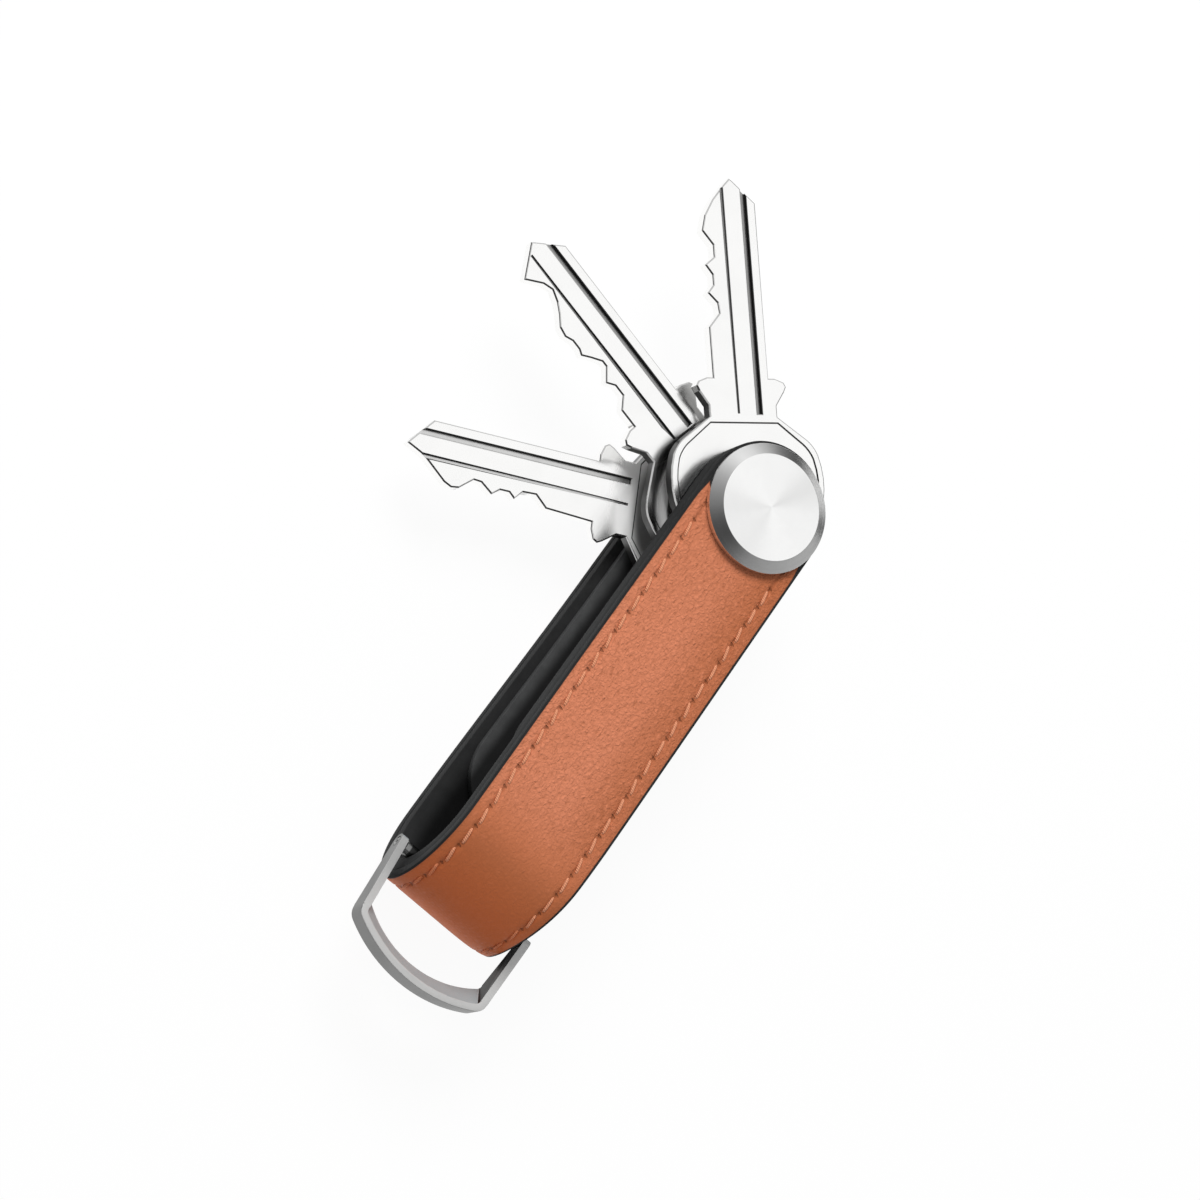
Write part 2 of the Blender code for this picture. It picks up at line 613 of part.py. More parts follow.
def make_ring():
    """The ring: two flat legs and a bow that thickens inwards towards its rear face."""
    front_apex = RING_REACH - RING_BOW_WIDTH
    rear_apex = front_apex - RING_WEDGE_WIDTH
    outer = ring_rail(RING_OUTER_Y, RING_REACH, RING_ARC_RADIUS, RING_CORNER_RADIUS)
    front = ring_rail(RING_INNER_Y, front_apex, RING_INNER_ARC_RADIUS, RING_INNER_CORNER_RADIUS)
    rear = ring_rail(RING_INNER_Y, rear_apex, RING_REAR_ARC_RADIUS, RING_INNER_CORNER_RADIUS)
    half = []
    for (outer_x, outer_y), (front_x, front_y), (rear_x, rear_y) in zip(outer, front, rear):
        high = ring_half_height(outer_x)
        half.append([(outer_x, outer_y, high), (front_x, front_y, high),
                     (rear_x, rear_y, -high), (outer_x, outer_y, -high)])
    mirrored = [[(x, -y, z) for x, y, z in section] for section in half]
    sections = mirrored + list(reversed(half[:-1]))
    ring = add_object("d_ring", loft_bmesh(sections), "ring_steel", (RING_PIN_X, 0, RING_PIN_Z),
                      Matrix.Rotation(-RING_TURN, 3, "Y"))
    reach = PIN_OUTER_Y + CUT_OVERRUN
    hole = cylinder_bmesh(RING_SPIGOT_RADIUS + RUN_GAP, -reach, reach, PIN_STEPS)
    bmesh.ops.rotate(hole, verts=hole.verts, matrix=Matrix.Rotation(math.pi / 2, 3, "X"))
    cut(ring, add_object("ring_hole_guide", hole), ring)
    return ring


def along_y(bm):
    """Turn a body modelled about Z so that its +Z end points along -Y."""
    bmesh.ops.rotate(bm, verts=bm.verts, matrix=Matrix.Rotation(math.pi / 2, 3, "X"))
    return bm


def make_ring_pin():
    """The pin through the bend: a barrel with a spigot at one end and a screw at the other."""
    barrel = PIN_INNER_Y - STACK_GAP
    bore = RING_SCREW_RADIUS + RUN_GAP
    bore_end = -barrel + RING_SCREW_LENGTH + RUN_GAP
    spigot_end = PIN_OUTER_Y
    dimple = spigot_end - PIN_DIMPLE_DEPTH
    post = add_object("ring_post", along_y(turned_bmesh([
        (bore, -barrel), (RING_PIN_RADIUS, -barrel), (RING_PIN_RADIUS, barrel),
        (RING_SPIGOT_RADIUS, barrel), (RING_SPIGOT_RADIUS, spigot_end),
        (PIN_DIMPLE_RADIUS, spigot_end), (PIN_DIMPLE_RADIUS, dimple), (0, dimple),
        (0, bore_end), (bore, bore_end),
    ], PIN_STEPS)), "ring_steel", (RING_PIN_X, 0, RING_PIN_Z))
    head_low = barrel + RUN_GAP
    tip = barrel - RING_SCREW_LENGTH
    screw = add_object("ring_screw", along_y(turned_bmesh([
        (0, -spigot_end + PIN_DIMPLE_DEPTH), (PIN_DIMPLE_RADIUS, -spigot_end + PIN_DIMPLE_DEPTH),
        (PIN_DIMPLE_RADIUS, -spigot_end), (RING_SPIGOT_RADIUS, -spigot_end),
        (RING_SPIGOT_RADIUS, -head_low), (RING_SCREW_RADIUS, -head_low), (RING_SCREW_RADIUS, -tip),
        (0, -tip),
    ], PIN_STEPS)), "ring_steel", (RING_PIN_X, 0, RING_PIN_Z))
    return [post, screw]


def centre_on_floor(pieces):
    """Hang every piece on one empty and move it so that the footprint's middle is the origin."""
    bpy.context.view_layer.update()
    graph = bpy.context.evaluated_depsgraph_get()
    corners = []
    for piece in pieces:
        seen = piece.evaluated_get(graph)
        mesh = seen.to_mesh()
        corners += [seen.matrix_world @ vert.co for vert in mesh.vertices]
        seen.to_mesh_clear()
    middle_x = (min(c.x for c in corners) + max(c.x for c in corners)) / 2
    middle_y = (min(c.y for c in corners) + max(c.y for c in corners)) / 2
    holder = bpy.data.objects.new("organizer_frame", None)
    bpy.context.scene.collection.objects.link(holder)
    for obj in bpy.data.objects:
        if obj.parent is None and obj is not holder:
            obj.parent = holder
    holder.location = Vector((-middle_x, -middle_y, 0))
    bpy.context.view_layer.update()
    print("pivot axis at", [round(value, 6) for value in holder.location])
    print("ring pin at", [round(value, 6) for value in bpy.data.objects["d_ring"].matrix_world.translation])


def main():
    clear_scene()
    pieces = make_strap() + make_discs() + make_post_and_screw() + make_rings_on_post()
    pieces += make_keys() + [make_ring()] + make_ring_pin()
    centre_on_floor(pieces)


main()
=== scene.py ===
"""A pocket key organizer: stitched leather strap, steel discs, three keys and a hinged ring.

The strap, its lining and its pads are cut and sewn flat, with X along the strap, Y across it and
Z up from its outer face, and are then folded into place. Metal pieces that keep the shape of the
solid model are copies of it with their edges broken.
"""

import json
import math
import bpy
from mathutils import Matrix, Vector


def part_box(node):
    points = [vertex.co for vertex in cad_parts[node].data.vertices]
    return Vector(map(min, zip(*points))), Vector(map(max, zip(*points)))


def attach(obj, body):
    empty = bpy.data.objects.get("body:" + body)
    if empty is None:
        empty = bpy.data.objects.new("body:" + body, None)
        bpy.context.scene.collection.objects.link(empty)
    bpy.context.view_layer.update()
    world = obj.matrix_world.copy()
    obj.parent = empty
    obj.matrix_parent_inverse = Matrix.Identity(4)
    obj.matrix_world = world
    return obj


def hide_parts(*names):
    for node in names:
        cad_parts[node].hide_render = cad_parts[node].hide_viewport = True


bl_info = {
    "name": "Key Organizer",
    "version": (1, 0, 0),
    "blender": (4, 5, 0),
    "location": "View3D > Sidebar > Key Organizer",
    "description": "Leather key organizer with keys that fan out, discs, stitching and a ring",
    "category": "Add Mesh",
}

import bmesh
import bpy
from bpy.props import FloatProperty, FloatVectorProperty, IntProperty, PointerProperty
from mathutils import Matrix, Vector

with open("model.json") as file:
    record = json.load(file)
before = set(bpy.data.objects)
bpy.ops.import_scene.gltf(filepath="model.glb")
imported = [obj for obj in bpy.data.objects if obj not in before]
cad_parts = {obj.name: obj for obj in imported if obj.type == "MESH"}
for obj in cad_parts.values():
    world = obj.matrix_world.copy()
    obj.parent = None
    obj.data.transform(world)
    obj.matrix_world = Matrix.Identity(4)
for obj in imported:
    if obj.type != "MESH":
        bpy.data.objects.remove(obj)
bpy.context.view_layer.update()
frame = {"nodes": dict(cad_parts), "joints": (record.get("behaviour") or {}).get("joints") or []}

MM = 0.001
JOINTS = {joint["name"]: joint for joint in frame["joints"]}
PIVOT = Vector(JOINTS["key_front_swing"]["pos_m"])
RING_AXIS = Vector(JOINTS["d_ring_swing"]["pos_m"])
STRAP_LOW, STRAP_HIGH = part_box("leather_band")
LINING_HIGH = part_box("lining_band")[1]
FRONT_PAD_LOW, FRONT_PAD_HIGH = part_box("front_pad")
REAR_PAD_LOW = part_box("rear_pad")[0]
FRONT_DISC_LOW, FRONT_DISC_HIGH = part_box("front_disc")
REAR_DISC_LOW, REAR_DISC_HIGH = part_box("rear_disc")

HALF_WIDTH = (STRAP_HIGH.y - STRAP_LOW.y) / 2
BOND_GAP = FRONT_DISC_LOW.z - STRAP_HIGH.z
REAR_FACE_Z = REAR_DISC_HIGH.z + BOND_GAP
BEND_RADIUS = STRAP_HIGH.z / 2
FLAP_RUN = STRAP_HIGH.x - BEND_RADIUS - PIVOT.x
BEND_RUN = math.pi * BEND_RADIUS
STRAP_RUN = 2 * FLAP_RUN + BEND_RUN
LINING_OUTSIDE = STRAP_HIGH.z - LINING_HIGH.z
PAD_OUTSIDE = STRAP_HIGH.z - FRONT_PAD_HIGH.z
PAD_INSIDE = STRAP_HIGH.z - FRONT_PAD_LOW.z
LINING_INSIDE = PAD_OUTSIDE - BOND_GAP
LEATHER_INSIDE = LINING_OUTSIDE - BOND_GAP
PAD_RUN = FRONT_PAD_HIGH.x - PIVOT.x
DISC_RADIUS = (FRONT_DISC_HIGH.x - FRONT_DISC_LOW.x) / 2

# The strap: its holes, its pads' inner ends, its painted bands and its steps lengthwise
STRAP_HOLE_RADIUS = 3.6 * MM
PAD_HOLE_RADIUS = 7.1 * MM
PAD_END_ROUND = 9 * MM
SIDE_BAND = 0.3 * MM
END_BAND = 0.7 * MM
LINING_INSET = 0.05 * MM
LEATHER_STEPS = 460
LINING_STEPS = 300
PAD_STEPS = 150

# The stitches: the groove they lie in, and their gaps, unevenness and height on the front flap
CHANNEL_REACH = 0.26 * MM
STITCH_GAP = 0.55 * MM
STITCH_CLEARANCE = 0.1 * MM
STITCH_WOBBLE = 0.035 * MM
STITCH_PROUD = 0.2 * MM

# The keys: distances from the post, and what tells outer walls, panels and grooves apart
BOW_REACH = 19 * MM
BOW_CORNER_REACH = 16 * MM
TALL_WALL = 0.5 * MM
LOW_WALL = 0.2 * MM
SHORT_EDGE = 1 * MM
PANEL_LEAST = 0.05 * MM
PANEL_MOST = 0.2 * MM
GROOVE_LEAST = 0.3 * MM

# The ring's pin holes, and the length under which two points count as one
PIN_HOLE_REACH = 1.2 * MM
NO_LENGTH = 2e-6


# Settings that a user would change


class StrapSettings(bpy.types.PropertyGroup):
    """Sizes and colours of the leather strap, its lining and its stitching."""

    flare_start: FloatProperty(
        name="Flare start", description="Distance from the post where the rear flap starts to drop",
        default=17 * MM, min=0, unit="LENGTH")
    end_overhang: FloatProperty(
        name="End overhang", description="How far the front flap's end stands out past the disc",
        default=0.35 * MM, min=0, unit="LENGTH")
    edge_round: FloatProperty(
        name="Leather edge", description="Rounding of the painted leather edge",
        default=0.22 * MM, min=0.05 * MM, unit="LENGTH")
    lining_edge_round: FloatProperty(
        name="Lining edge", description="Rounding of the lining's edge",
        default=0.7 * MM, min=0.05 * MM, unit="LENGTH")
    front_pad_round: FloatProperty(
        name="Front pad edge", description="Rounding of the front pad's inner edge",
        default=0.4 * MM, min=0.05 * MM, unit="LENGTH")
    rear_pad_round: FloatProperty(
        name="Rear pad edge", description="Rounding of the rear pad's inner edge",
        default=1.15 * MM, min=0.05 * MM, unit="LENGTH")
    stitch_inset: FloatProperty(
        name="Stitch inset", description="Distance of each stitch row from the strap's edge",
        default=2.15 * MM, min=0.5 * MM, unit="LENGTH")
    stitch_pitch: FloatProperty(
        name="Stitch pitch", description="Distance from one needle hole to the next",
        default=3.4 * MM, min=1 * MM, unit="LENGTH")
    stitch_slant: FloatProperty(
        name="Stitch slant", description="Angle of each stitch to its row",
        default=math.radians(12), subtype="ANGLE")
    wrinkle_angle: FloatProperty(
        name="Wrinkle angle", description="Direction in which the leather's fine wrinkles run",
        default=math.radians(-52), subtype="ANGLE")
    thread_radius: FloatProperty(
        name="Thread radius", description="Radius of the sewing thread",
        default=0.26 * MM, min=0.05 * MM, unit="LENGTH")
    bend_draw: FloatProperty(
        name="Bend draw", description="How far the far edge is drawn in round the bend",
        default=0.9 * MM, min=0, unit="LENGTH")
    bend_curl: FloatProperty(
        name="Bend curl", description="How far the far edge curls inwards round the bend",
        default=0.9 * MM, min=0, unit="LENGTH")
    channel_depth: FloatProperty(
        name="Stitch channel", description="How deep the thread pulls the leather in",
        default=0.2 * MM, min=0, unit="LENGTH")
    leather_colour: FloatVectorProperty(
        name="Leather", description="Colour of the flat leather",
        default=(0.68, 0.236, 0.127), min=0, max=1, subtype="COLOR")
    # Darker leather for rubbed edges and random tone, and for painted shade in the grain, the sewn
    # groove, the needle holes and towards the far edge.
    wear_and_shade_colour: FloatVectorProperty(
        name="Worn and shaded leather", description="Colour of the leather where it is rubbed or lies in a crease",
        default=(0.41, 0.118, 0.042), min=0, max=1, subtype="COLOR")
    # The bend's colour is partly the leather's own stretch and burnish, partly painted shade where the
    # bend turns from the light.
    bend_colour: FloatVectorProperty(
        name="Bend", description="Colour of the leather where it is bent",
        default=(0.62, 0.14, 0.034), min=0, max=1, subtype="COLOR")
    thread_colour: FloatVectorProperty(
        name="Thread", description="Colour of the sewing thread",
        default=(0.86, 0.35, 0.19), min=0, max=1, subtype="COLOR")
    lining_colour: FloatVectorProperty(
        name="Lining", description="Colour of the lining and of the painted edges",
        default=(0.0205, 0.0208, 0.021), min=0, max=1, subtype="COLOR")


class MetalSettings(bpy.types.PropertyGroup):
    """Sizes and colours of the discs, keys, ring and fittings."""

    disc_bevel: FloatProperty(
        name="Disc bevel", description="Width of the bevel round each disc's face",
        default=1.7 * MM, min=0.2 * MM, unit="LENGTH")
    disc_wall: FloatProperty(
        name="Disc wall", description="Height of each disc's straight wall",
        default=0.9 * MM, min=0.2 * MM, unit="LENGTH")
    disc_edge: FloatProperty(
        name="Disc edge", description="Width of the broken edges of the discs",
        default=0.04 * MM, min=0.01 * MM, unit="LENGTH")
    key_edge: FloatProperty(
        name="Key edge", description="Width of the broken edges of the keys",
        default=0.2 * MM, min=0.01 * MM, unit="LENGTH")
    # The panel line is painted shade at the panel's step.
    panel_line: FloatProperty(
        name="Panel line", description="Width of the dark line round each key's panel",
        default=0.22 * MM, min=0.01 * MM, unit="LENGTH")
    bow_corner: FloatProperty(
        name="Bow corner", description="How far the corner of a key's bow is rounded to each side",
        default=1.3 * MM, min=0.1 * MM, unit="LENGTH")
    ring_edge: FloatProperty(
        name="Ring edge", description="Width of the broken edges of the ring",
        default=0.12 * MM, min=0.01 * MM, unit="LENGTH")
    fitting_edge: FloatProperty(
        name="Fitting edge", description="Width of the broken edges of screws and pins",
        default=0.08 * MM, min=0.01 * MM, unit="LENGTH")
    disc_steps: IntProperty(
        name="Disc steps", description="Steps round each disc", default=160, min=32, max=512)
    disc_colour: FloatVectorProperty(
        name="Discs", description="Colour of the brushed discs",
        default=(0.95, 0.95, 0.945), min=0, max=1, subtype="COLOR")
    key_colour: FloatVectorProperty(
        name="Keys", description="Colour of the nickel plated keys",
        default=(0.96, 0.958, 0.95), min=0, max=1, subtype="COLOR")
    ring_tilt: FloatProperty(
        name="Ring tilt", description="How far the ring is turned up from the strap",
        default=math.radians(5), subtype="ANGLE")
    ring_colour: FloatVectorProperty(
        name="Ring", description="Colour of the satin ring",
        default=(0.56, 0.56, 0.555), min=0, max=1, subtype="COLOR")
    # Darker and bluer than the ring's steel: painted shade on the bow's inside.
    inside_colour: FloatVectorProperty(
        name="Ring inside", description="Colour of the matte inner face of the ring's bow",
        default=(0.36, 0.385, 0.395), min=0, max=1, subtype="COLOR")
    fitting_colour: FloatVectorProperty(
        name="Fittings", description="Colour of the post, bushes, spacers and screw",
        default=(0.42, 0.42, 0.42), min=0, max=1, subtype="COLOR")
    washer_colour: FloatVectorProperty(
        name="Washers", description="Colour of the plastic washers",
        default=(0.78, 0.78, 0.75), min=0, max=1, subtype="COLOR")


class StageSettings(bpy.types.PropertyGroup):
    """Floor, light and camera."""

    floor_size: FloatProperty(
        name="Floor", description="Side of the floor", default=3, min=0.5, unit="LENGTH")
    lamp_power: FloatProperty(
        name="Soft box", description="Power of the large soft box in watts", default=6.2, min=0)
    ambient: FloatProperty(
        name="Room light", description="Strength of the even light of the room", default=0.42, min=0)
    shadow_share: FloatProperty(
        name="Shadow", description="Share of the floor's look that takes the object's shadow",
        default=0.06, min=0, max=1, subtype="FACTOR")
    camera_lens: FloatProperty(
        name="Lens", description="Focal length of the camera in millimetres", default=90, min=20)


# Shader maths


class Value:
    """A number or colour socket that takes part in sums and products."""

    def __init__(self, paint, socket):
        self.paint = paint
        self.socket = socket

    def maths(self, operation, first, second=None):
        """Add a Math node for one or two numbers."""
        inputs = {0: first} if second is None else {0: first, 1: second}
        return self.paint.node("ShaderNodeMath", {"operation": operation}, inputs)

    def __add__(self, other):
        return self.maths("ADD", self, other)

    def __radd__(self, other):
        return self.maths("ADD", other, self)

    def __sub__(self, other):
        return self.maths("SUBTRACT", self, other)

    def __rsub__(self, other):
        return self.maths("SUBTRACT", other, self)

    def __mul__(self, other):
        return self.maths("MULTIPLY", self, other)

    def __rmul__(self, other):
        return self.maths("MULTIPLY", other, self)

    def __truediv__(self, other):
        return self.maths("DIVIDE", self, other)

    def __rtruediv__(self, other):
        return self.maths("DIVIDE", other, self)

    def __pow__(self, other):
        return self.maths("POWER", self, other)

    def __abs__(self):
        return self.maths("ABSOLUTE", self)

    def fraction(self):
        """What is left of a number past its whole part."""
        return self.maths("FRACT", self)

    def sine(self):
        """The sine of an angle."""
        return self.maths("SINE", self)

    def clamped(self):
        """A number kept between 0 and 1."""
        return self.paint.node("ShaderNodeClamp", {}, {"Value": self})

    def step(self, low, high):
        """A smooth step from 0 at low to 1 at high; falls where low is above high."""
        if low > high:
            return 1 - self.step(high, low)
        return self.paint.node(
            "ShaderNodeMapRange", {"interpolation_type": "SMOOTHSTEP"},
            {"Value": self, "From Min": low, "From Max": high})


class Paint:
    """Adds nodes to one material or world."""

    def __init__(self, tree):
        self.tree = tree

    def node(self, kind, settings=None, inputs=None, output=0):
        """Add a node, set it up, feed its sockets, and return one output."""
        made = self.tree.nodes.new(kind)
        for name, value in (settings or {}).items():
            if name == "stops":
                self.set_stops(made.color_ramp, value)
            else:
                setattr(made, name, value)
        for name, value in (inputs or {}).items():
            if isinstance(value, Value):
                self.tree.links.new(value.socket, made.inputs[name])
            else:
                made.inputs[name].default_value = value
        return Value(self, made.outputs[output]) if made.outputs else None

    def set_stops(self, ramp, stops):
        """Give a colour ramp its stops, each a place and a colour."""
        while len(ramp.elements) > 1:
            ramp.elements.remove(ramp.elements[-1])
        for i, (place, colour) in enumerate(stops):
            element = ramp.elements[0] if i == 0 else ramp.elements.new(place)
            element.position = place
            element.color = colour

    def place(self):
        """The point on the object, in metres."""
        return self.node("ShaderNodeTexCoord", output="Object")

    def parts(self, vector):
        """The three numbers of a vector."""
        x = self.node("ShaderNodeSeparateXYZ", {}, {0: vector}, output=0)
        split = x.socket.node
        return x, Value(self, split.outputs[1]), Value(self, split.outputs[2])

    def rays(self):
        """Whether the camera, metal or clear plastic looks at the surface."""
        direct = self.node("ShaderNodeLightPath", output="Is Camera Ray")
        outputs = direct.socket.node.outputs
        return direct, Value(self, outputs["Is Glossy Ray"]), Value(self, outputs["Is Transmission Ray"])

    def noise(self, vector, scale, detail=3, roughness=0.5):
        """Cloudy noise at a point."""
        return self.node("ShaderNodeTexNoise", {}, {
            "Vector": vector, "Scale": scale, "Detail": detail, "Roughness": roughness})

    def blend(self, share, first, second):
        """Mix two colours, each a colour or a socket."""
        first, second = (colour if isinstance(colour, Value) else (*colour[:3], 1)
                         for colour in (first, second))
        return self.node("ShaderNodeMix", {"data_type": "RGBA"}, {0: share, 6: first, 7: second}, 2)

    def layered(self, colour, *layers):
        """Lay colours over a colour in turn, each with its own mask."""
        for mask, laid in layers:
            colour = self.blend(mask, colour, laid)
        return colour

    def bump(self, height, distance, strength=1.0, before=None):
        """Bend the surface's normal by a height, on top of an earlier bump if there is one."""
        inputs = {"Height": height, "Distance": distance, "Strength": strength}
        if before is not None:
            inputs["Normal"] = before
        return self.node("ShaderNodeBump", {}, inputs)


def new_material(name):
    """A material and its paint, with nothing but the shader and the output."""
    material = bpy.data.materials.new(name)
    material.use_nodes = True
    tree = material.node_tree
    tree.nodes.clear()
    return material, Paint(tree)


def finish_surface(paint, inputs):
    """Give a material its one shader."""
    shader = paint.node("ShaderNodeBsdfPrincipled", {}, inputs)
    paint.node("ShaderNodeOutputMaterial", {}, {"Surface": shader})


def shade_of(colour, share):
    """A colour made lighter or darker."""
    return tuple(min(part * share, 1) for part in colour)


# Materials of the strap


def strap_places(paint):
    """Run along the strap and distance across it in metres, from the strap's own UV map."""
    uv = paint.node("ShaderNodeUVMap", {"uv_map": "strap_run"})
    along, across, _ = paint.parts(uv)
    run = along * (STRAP_RUN + 2 * HALF_WIDTH) - HALF_WIDTH
    side = (across - 0.5) * (2 * HALF_WIDTH)
    return run, side


def sewn_marks(strap, run, side):
    """Masks of the needle holes, of the leather pulled in round them, and of the sewn groove."""
    row = HALF_WIDTH - strap.stitch_inset
    beat = (run / strap.stitch_pitch).fraction()
    along = (beat - 0.5) * strap.stitch_pitch
    off_row = side - row * (side / abs(side))
    across = off_row + along * 0.5
    slit = along - off_row * 0.35
    hole = ((slit * slit * 5 + across * across) ** 0.5).step(0.5 * MM, 0.2 * MM)
    pull = ((along * along + off_row * off_row) ** 0.5).step(1.0 * MM, 0.2 * MM)
    groove = abs(off_row).step(0.42 * MM, 0.1 * MM)
    return hole, pull, groove


def leather_grain(paint, strap):
    """Masks of the leather's pebbles and of its fine wrinkles."""
    place = paint.place()
    warp = paint.node("ShaderNodeTexNoise", {}, {
        "Vector": place, "Scale": 900, "Detail": 2}, output="Color")
    warped = paint.node("ShaderNodeVectorMath", {"operation": "MULTIPLY_ADD"}, {
        0: warp, 1: (0.0005, 0.0005, 0.0005), 2: place})
    cells = paint.node("ShaderNodeTexVoronoi", {"feature": "DISTANCE_TO_EDGE"}, {
        "Vector": warped, "Scale": 1500})
    laid = paint.node("ShaderNodeMapping", {}, {
        "Vector": warped, "Rotation": (0, 0, strap.wrinkle_angle), "Scale": (1000, 2300, 1500)})
    return cells.step(0, 0.35), paint.noise(laid, 1, 3, 0.65)


def leather_material(strap):
    """Pebbled tan leather: grain, needle holes, and a smoother, darker bend, with painted shade and
    painted highlights laid into its colour.
    """
    material, paint = new_material("tan_leather")
    place = paint.place()
    run, side = strap_places(paint)
    pebbles, wrinkles = leather_grain(paint, strap)
    hole, pull, groove = sewn_marks(strap, run, side)
    swell = paint.noise(place, 240, 2)
    patches = paint.noise(place, 75, 3, 0.6)
    fine = paint.noise(place, 5200, 2)
    bend_middle = FLAP_RUN + BEND_RUN / 2
    # The darker bend is partly stretch and burnish, partly painted shade where the bend turns from the
    # light.
    bend = abs(run - bend_middle).step(BEND_RUN / 2 + 9 * MM, BEND_RUN / 2 - 6 * MM)
    outermost = run.step(FLAP_RUN + BEND_RUN * 0.08, FLAP_RUN + BEND_RUN * 0.34)
    tone = (patches - 0.5) * 0.5 + (swell - 0.5) * 0.25 + 0.5
    # Painted shade towards the far edge, away from the light; darker near the post as well.
    far_side = side.step(0, HALF_WIDTH * 0.75) * 0.6
    by_post = run.step(30 * MM, 5 * MM) * 0.2
    rub = abs(side).step(HALF_WIDTH - 0.9 * MM, HALF_WIDTH)
    inked = abs(side) + run.step(6 * MM, 0) * (0.55 * MM)
    # The darker leather serves wear and painted shade alike.
    wear_and_shade = strap.wear_and_shade_colour
    colour = paint.layered(
        strap.leather_colour,
        (bend, paint.blend(outermost, shade_of(wear_and_shade, 1.05), strap.bend_colour)),
        (tone.step(0.2, 0.8) * 0.22, shade_of(wear_and_shade, 1.1)),
        # Painted shade towards the far edge, and darker near the post.
        ((far_side + by_post) * (1 - bend), wear_and_shade),
        # Painted shade between the pebbles and in the wrinkles' creases, a painted highlight on the
        # wrinkles' crests.
        ((1 - pebbles) * (0.14 - 0.12 * bend), shade_of(wear_and_shade, 0.7)),
        (wrinkles.step(0.54, 0.72) * (0.34 - 0.28 * bend), shade_of(strap.leather_colour, 1.35)),
        (wrinkles.step(0.47, 0.3) * (0.42 - 0.35 * bend), shade_of(wear_and_shade, 0.75)),
        # Painted shade in the sewn groove, round the needle holes and in the holes.
        (groove * 0.22 + pull * 0.12, shade_of(wear_and_shade, 0.6)),
        (hole * 0.6, shade_of(wear_and_shade, 0.36)),
        (rub * 0.4, shade_of(wear_and_shade, 0.6)),
        (inked.step(HALF_WIDTH - 0.4 * MM, HALF_WIDTH - 0.3 * MM), strap.lining_colour))
    relief = wrinkles * 1.5 + pebbles * 0.25 + swell * 0.4 + fine * 0.12
    grain = paint.bump(relief * (1 - 0.75 * bend), 0.2 * MM, 1.0)
    finish_surface(paint, {
        "Base Color": colour,
        "Roughness": 0.56 + (1 - pebbles) * 0.1 - bend * 0.06,
        "Specular IOR Level": 0.3,
        "Normal": paint.bump(1 - hole - pull * 0.35, 0.18 * MM, 0.8, grain),
    })
    return material


def black_edge_material(name, colour, scale, dim_from=None, dim_to=0):
    """Painted or coated black: matte, with a fine cloudy grain, and, where asked, darker towards the
    strap's middle as painted shade between the flaps.

    The dimming starts at dim_from and is full at dim_to, both measured from the strap's middle.
    """
    material, paint = new_material(name)
    place = paint.place()
    clouds = paint.noise(place, 420, 4, 0.6)
    fibres = paint.noise(place, scale, 3, 0.6)
    cells = paint.node("ShaderNodeTexVoronoi", {"feature": "SMOOTH_F1"}, {
        "Vector": place, "Scale": scale * 0.7})
    base = paint.layered(colour, (clouds.step(0.3, 0.75) * 0.5, shade_of(colour, 1.6)),
                         (fibres.step(0.6, 0.85) * 0.3, shade_of(colour, 2.4)))
    if dim_from:
        _, y, _ = paint.parts(place)
        # Painted shade: darker towards the strap's middle, between the flaps.
        inner = abs(y - PIVOT.y).step(dim_from, dim_to)
        base = paint.blend(inner * 0.85, base, shade_of(colour, 0.1))
    finish_surface(paint, {
        "Base Color": base,
        "Roughness": 0.6 + clouds * 0.2,
        "Specular IOR Level": 0.1,
        "Normal": paint.bump(cells * 0.6 + fibres * 0.6, 0.03 * MM, 0.6),
    })
    return material


def thread_material(strap):
    """Waxed sewing thread of two twisted plies, darker between the plies and round the bend as painted
    shade.
    """
    material, paint = new_material("sewing_thread")
    uv = paint.node("ShaderNodeUVMap", {"uv_map": "thread_run"})
    along, around, _ = paint.parts(uv)
    # Painted shade: the thread is darker between its plies.
    plies = ((along * 9 + around * 2) * math.tau).sine() * 0.5 + 0.5
    place = paint.place()
    fuzz = paint.noise(place, 9000, 2)
    _, _, height = paint.parts(place)
    # Painted shade: lower down the strap, round the bend, the thread takes the bend's colour.
    round_bend = height.step(STRAP_HIGH.z - 1 * MM, STRAP_HIGH.z - 6 * MM)
    base = paint.layered(shade_of(strap.thread_colour, 0.6), (plies, strap.thread_colour),
                         (round_bend * 0.85, strap.bend_colour),
                         (fuzz.step(0.55, 0.8) * 0.4, shade_of(strap.thread_colour, 1.25)))
    finish_surface(paint, {
        "Base Color": base,
        "Roughness": 0.55 + fuzz * 0.2,
        "Normal": paint.bump(plies + fuzz * 0.4, 0.05 * MM, 0.8),
    })
    return material


# Materials of the metal and plastic pieces


def from_axis(paint):
    """Distance of a surface point from the post's axis, and its direction round it in turns."""
    x, y, _ = paint.parts(paint.place())
    side, ahead = x - PIVOT.x, y - PIVOT.y
    radius = (side * side + ahead * ahead) ** 0.5
    turn = paint.node("ShaderNodeMath", {"operation": "ARCTAN2"}, {0: ahead, 1: side})
    return radius, turn / math.tau


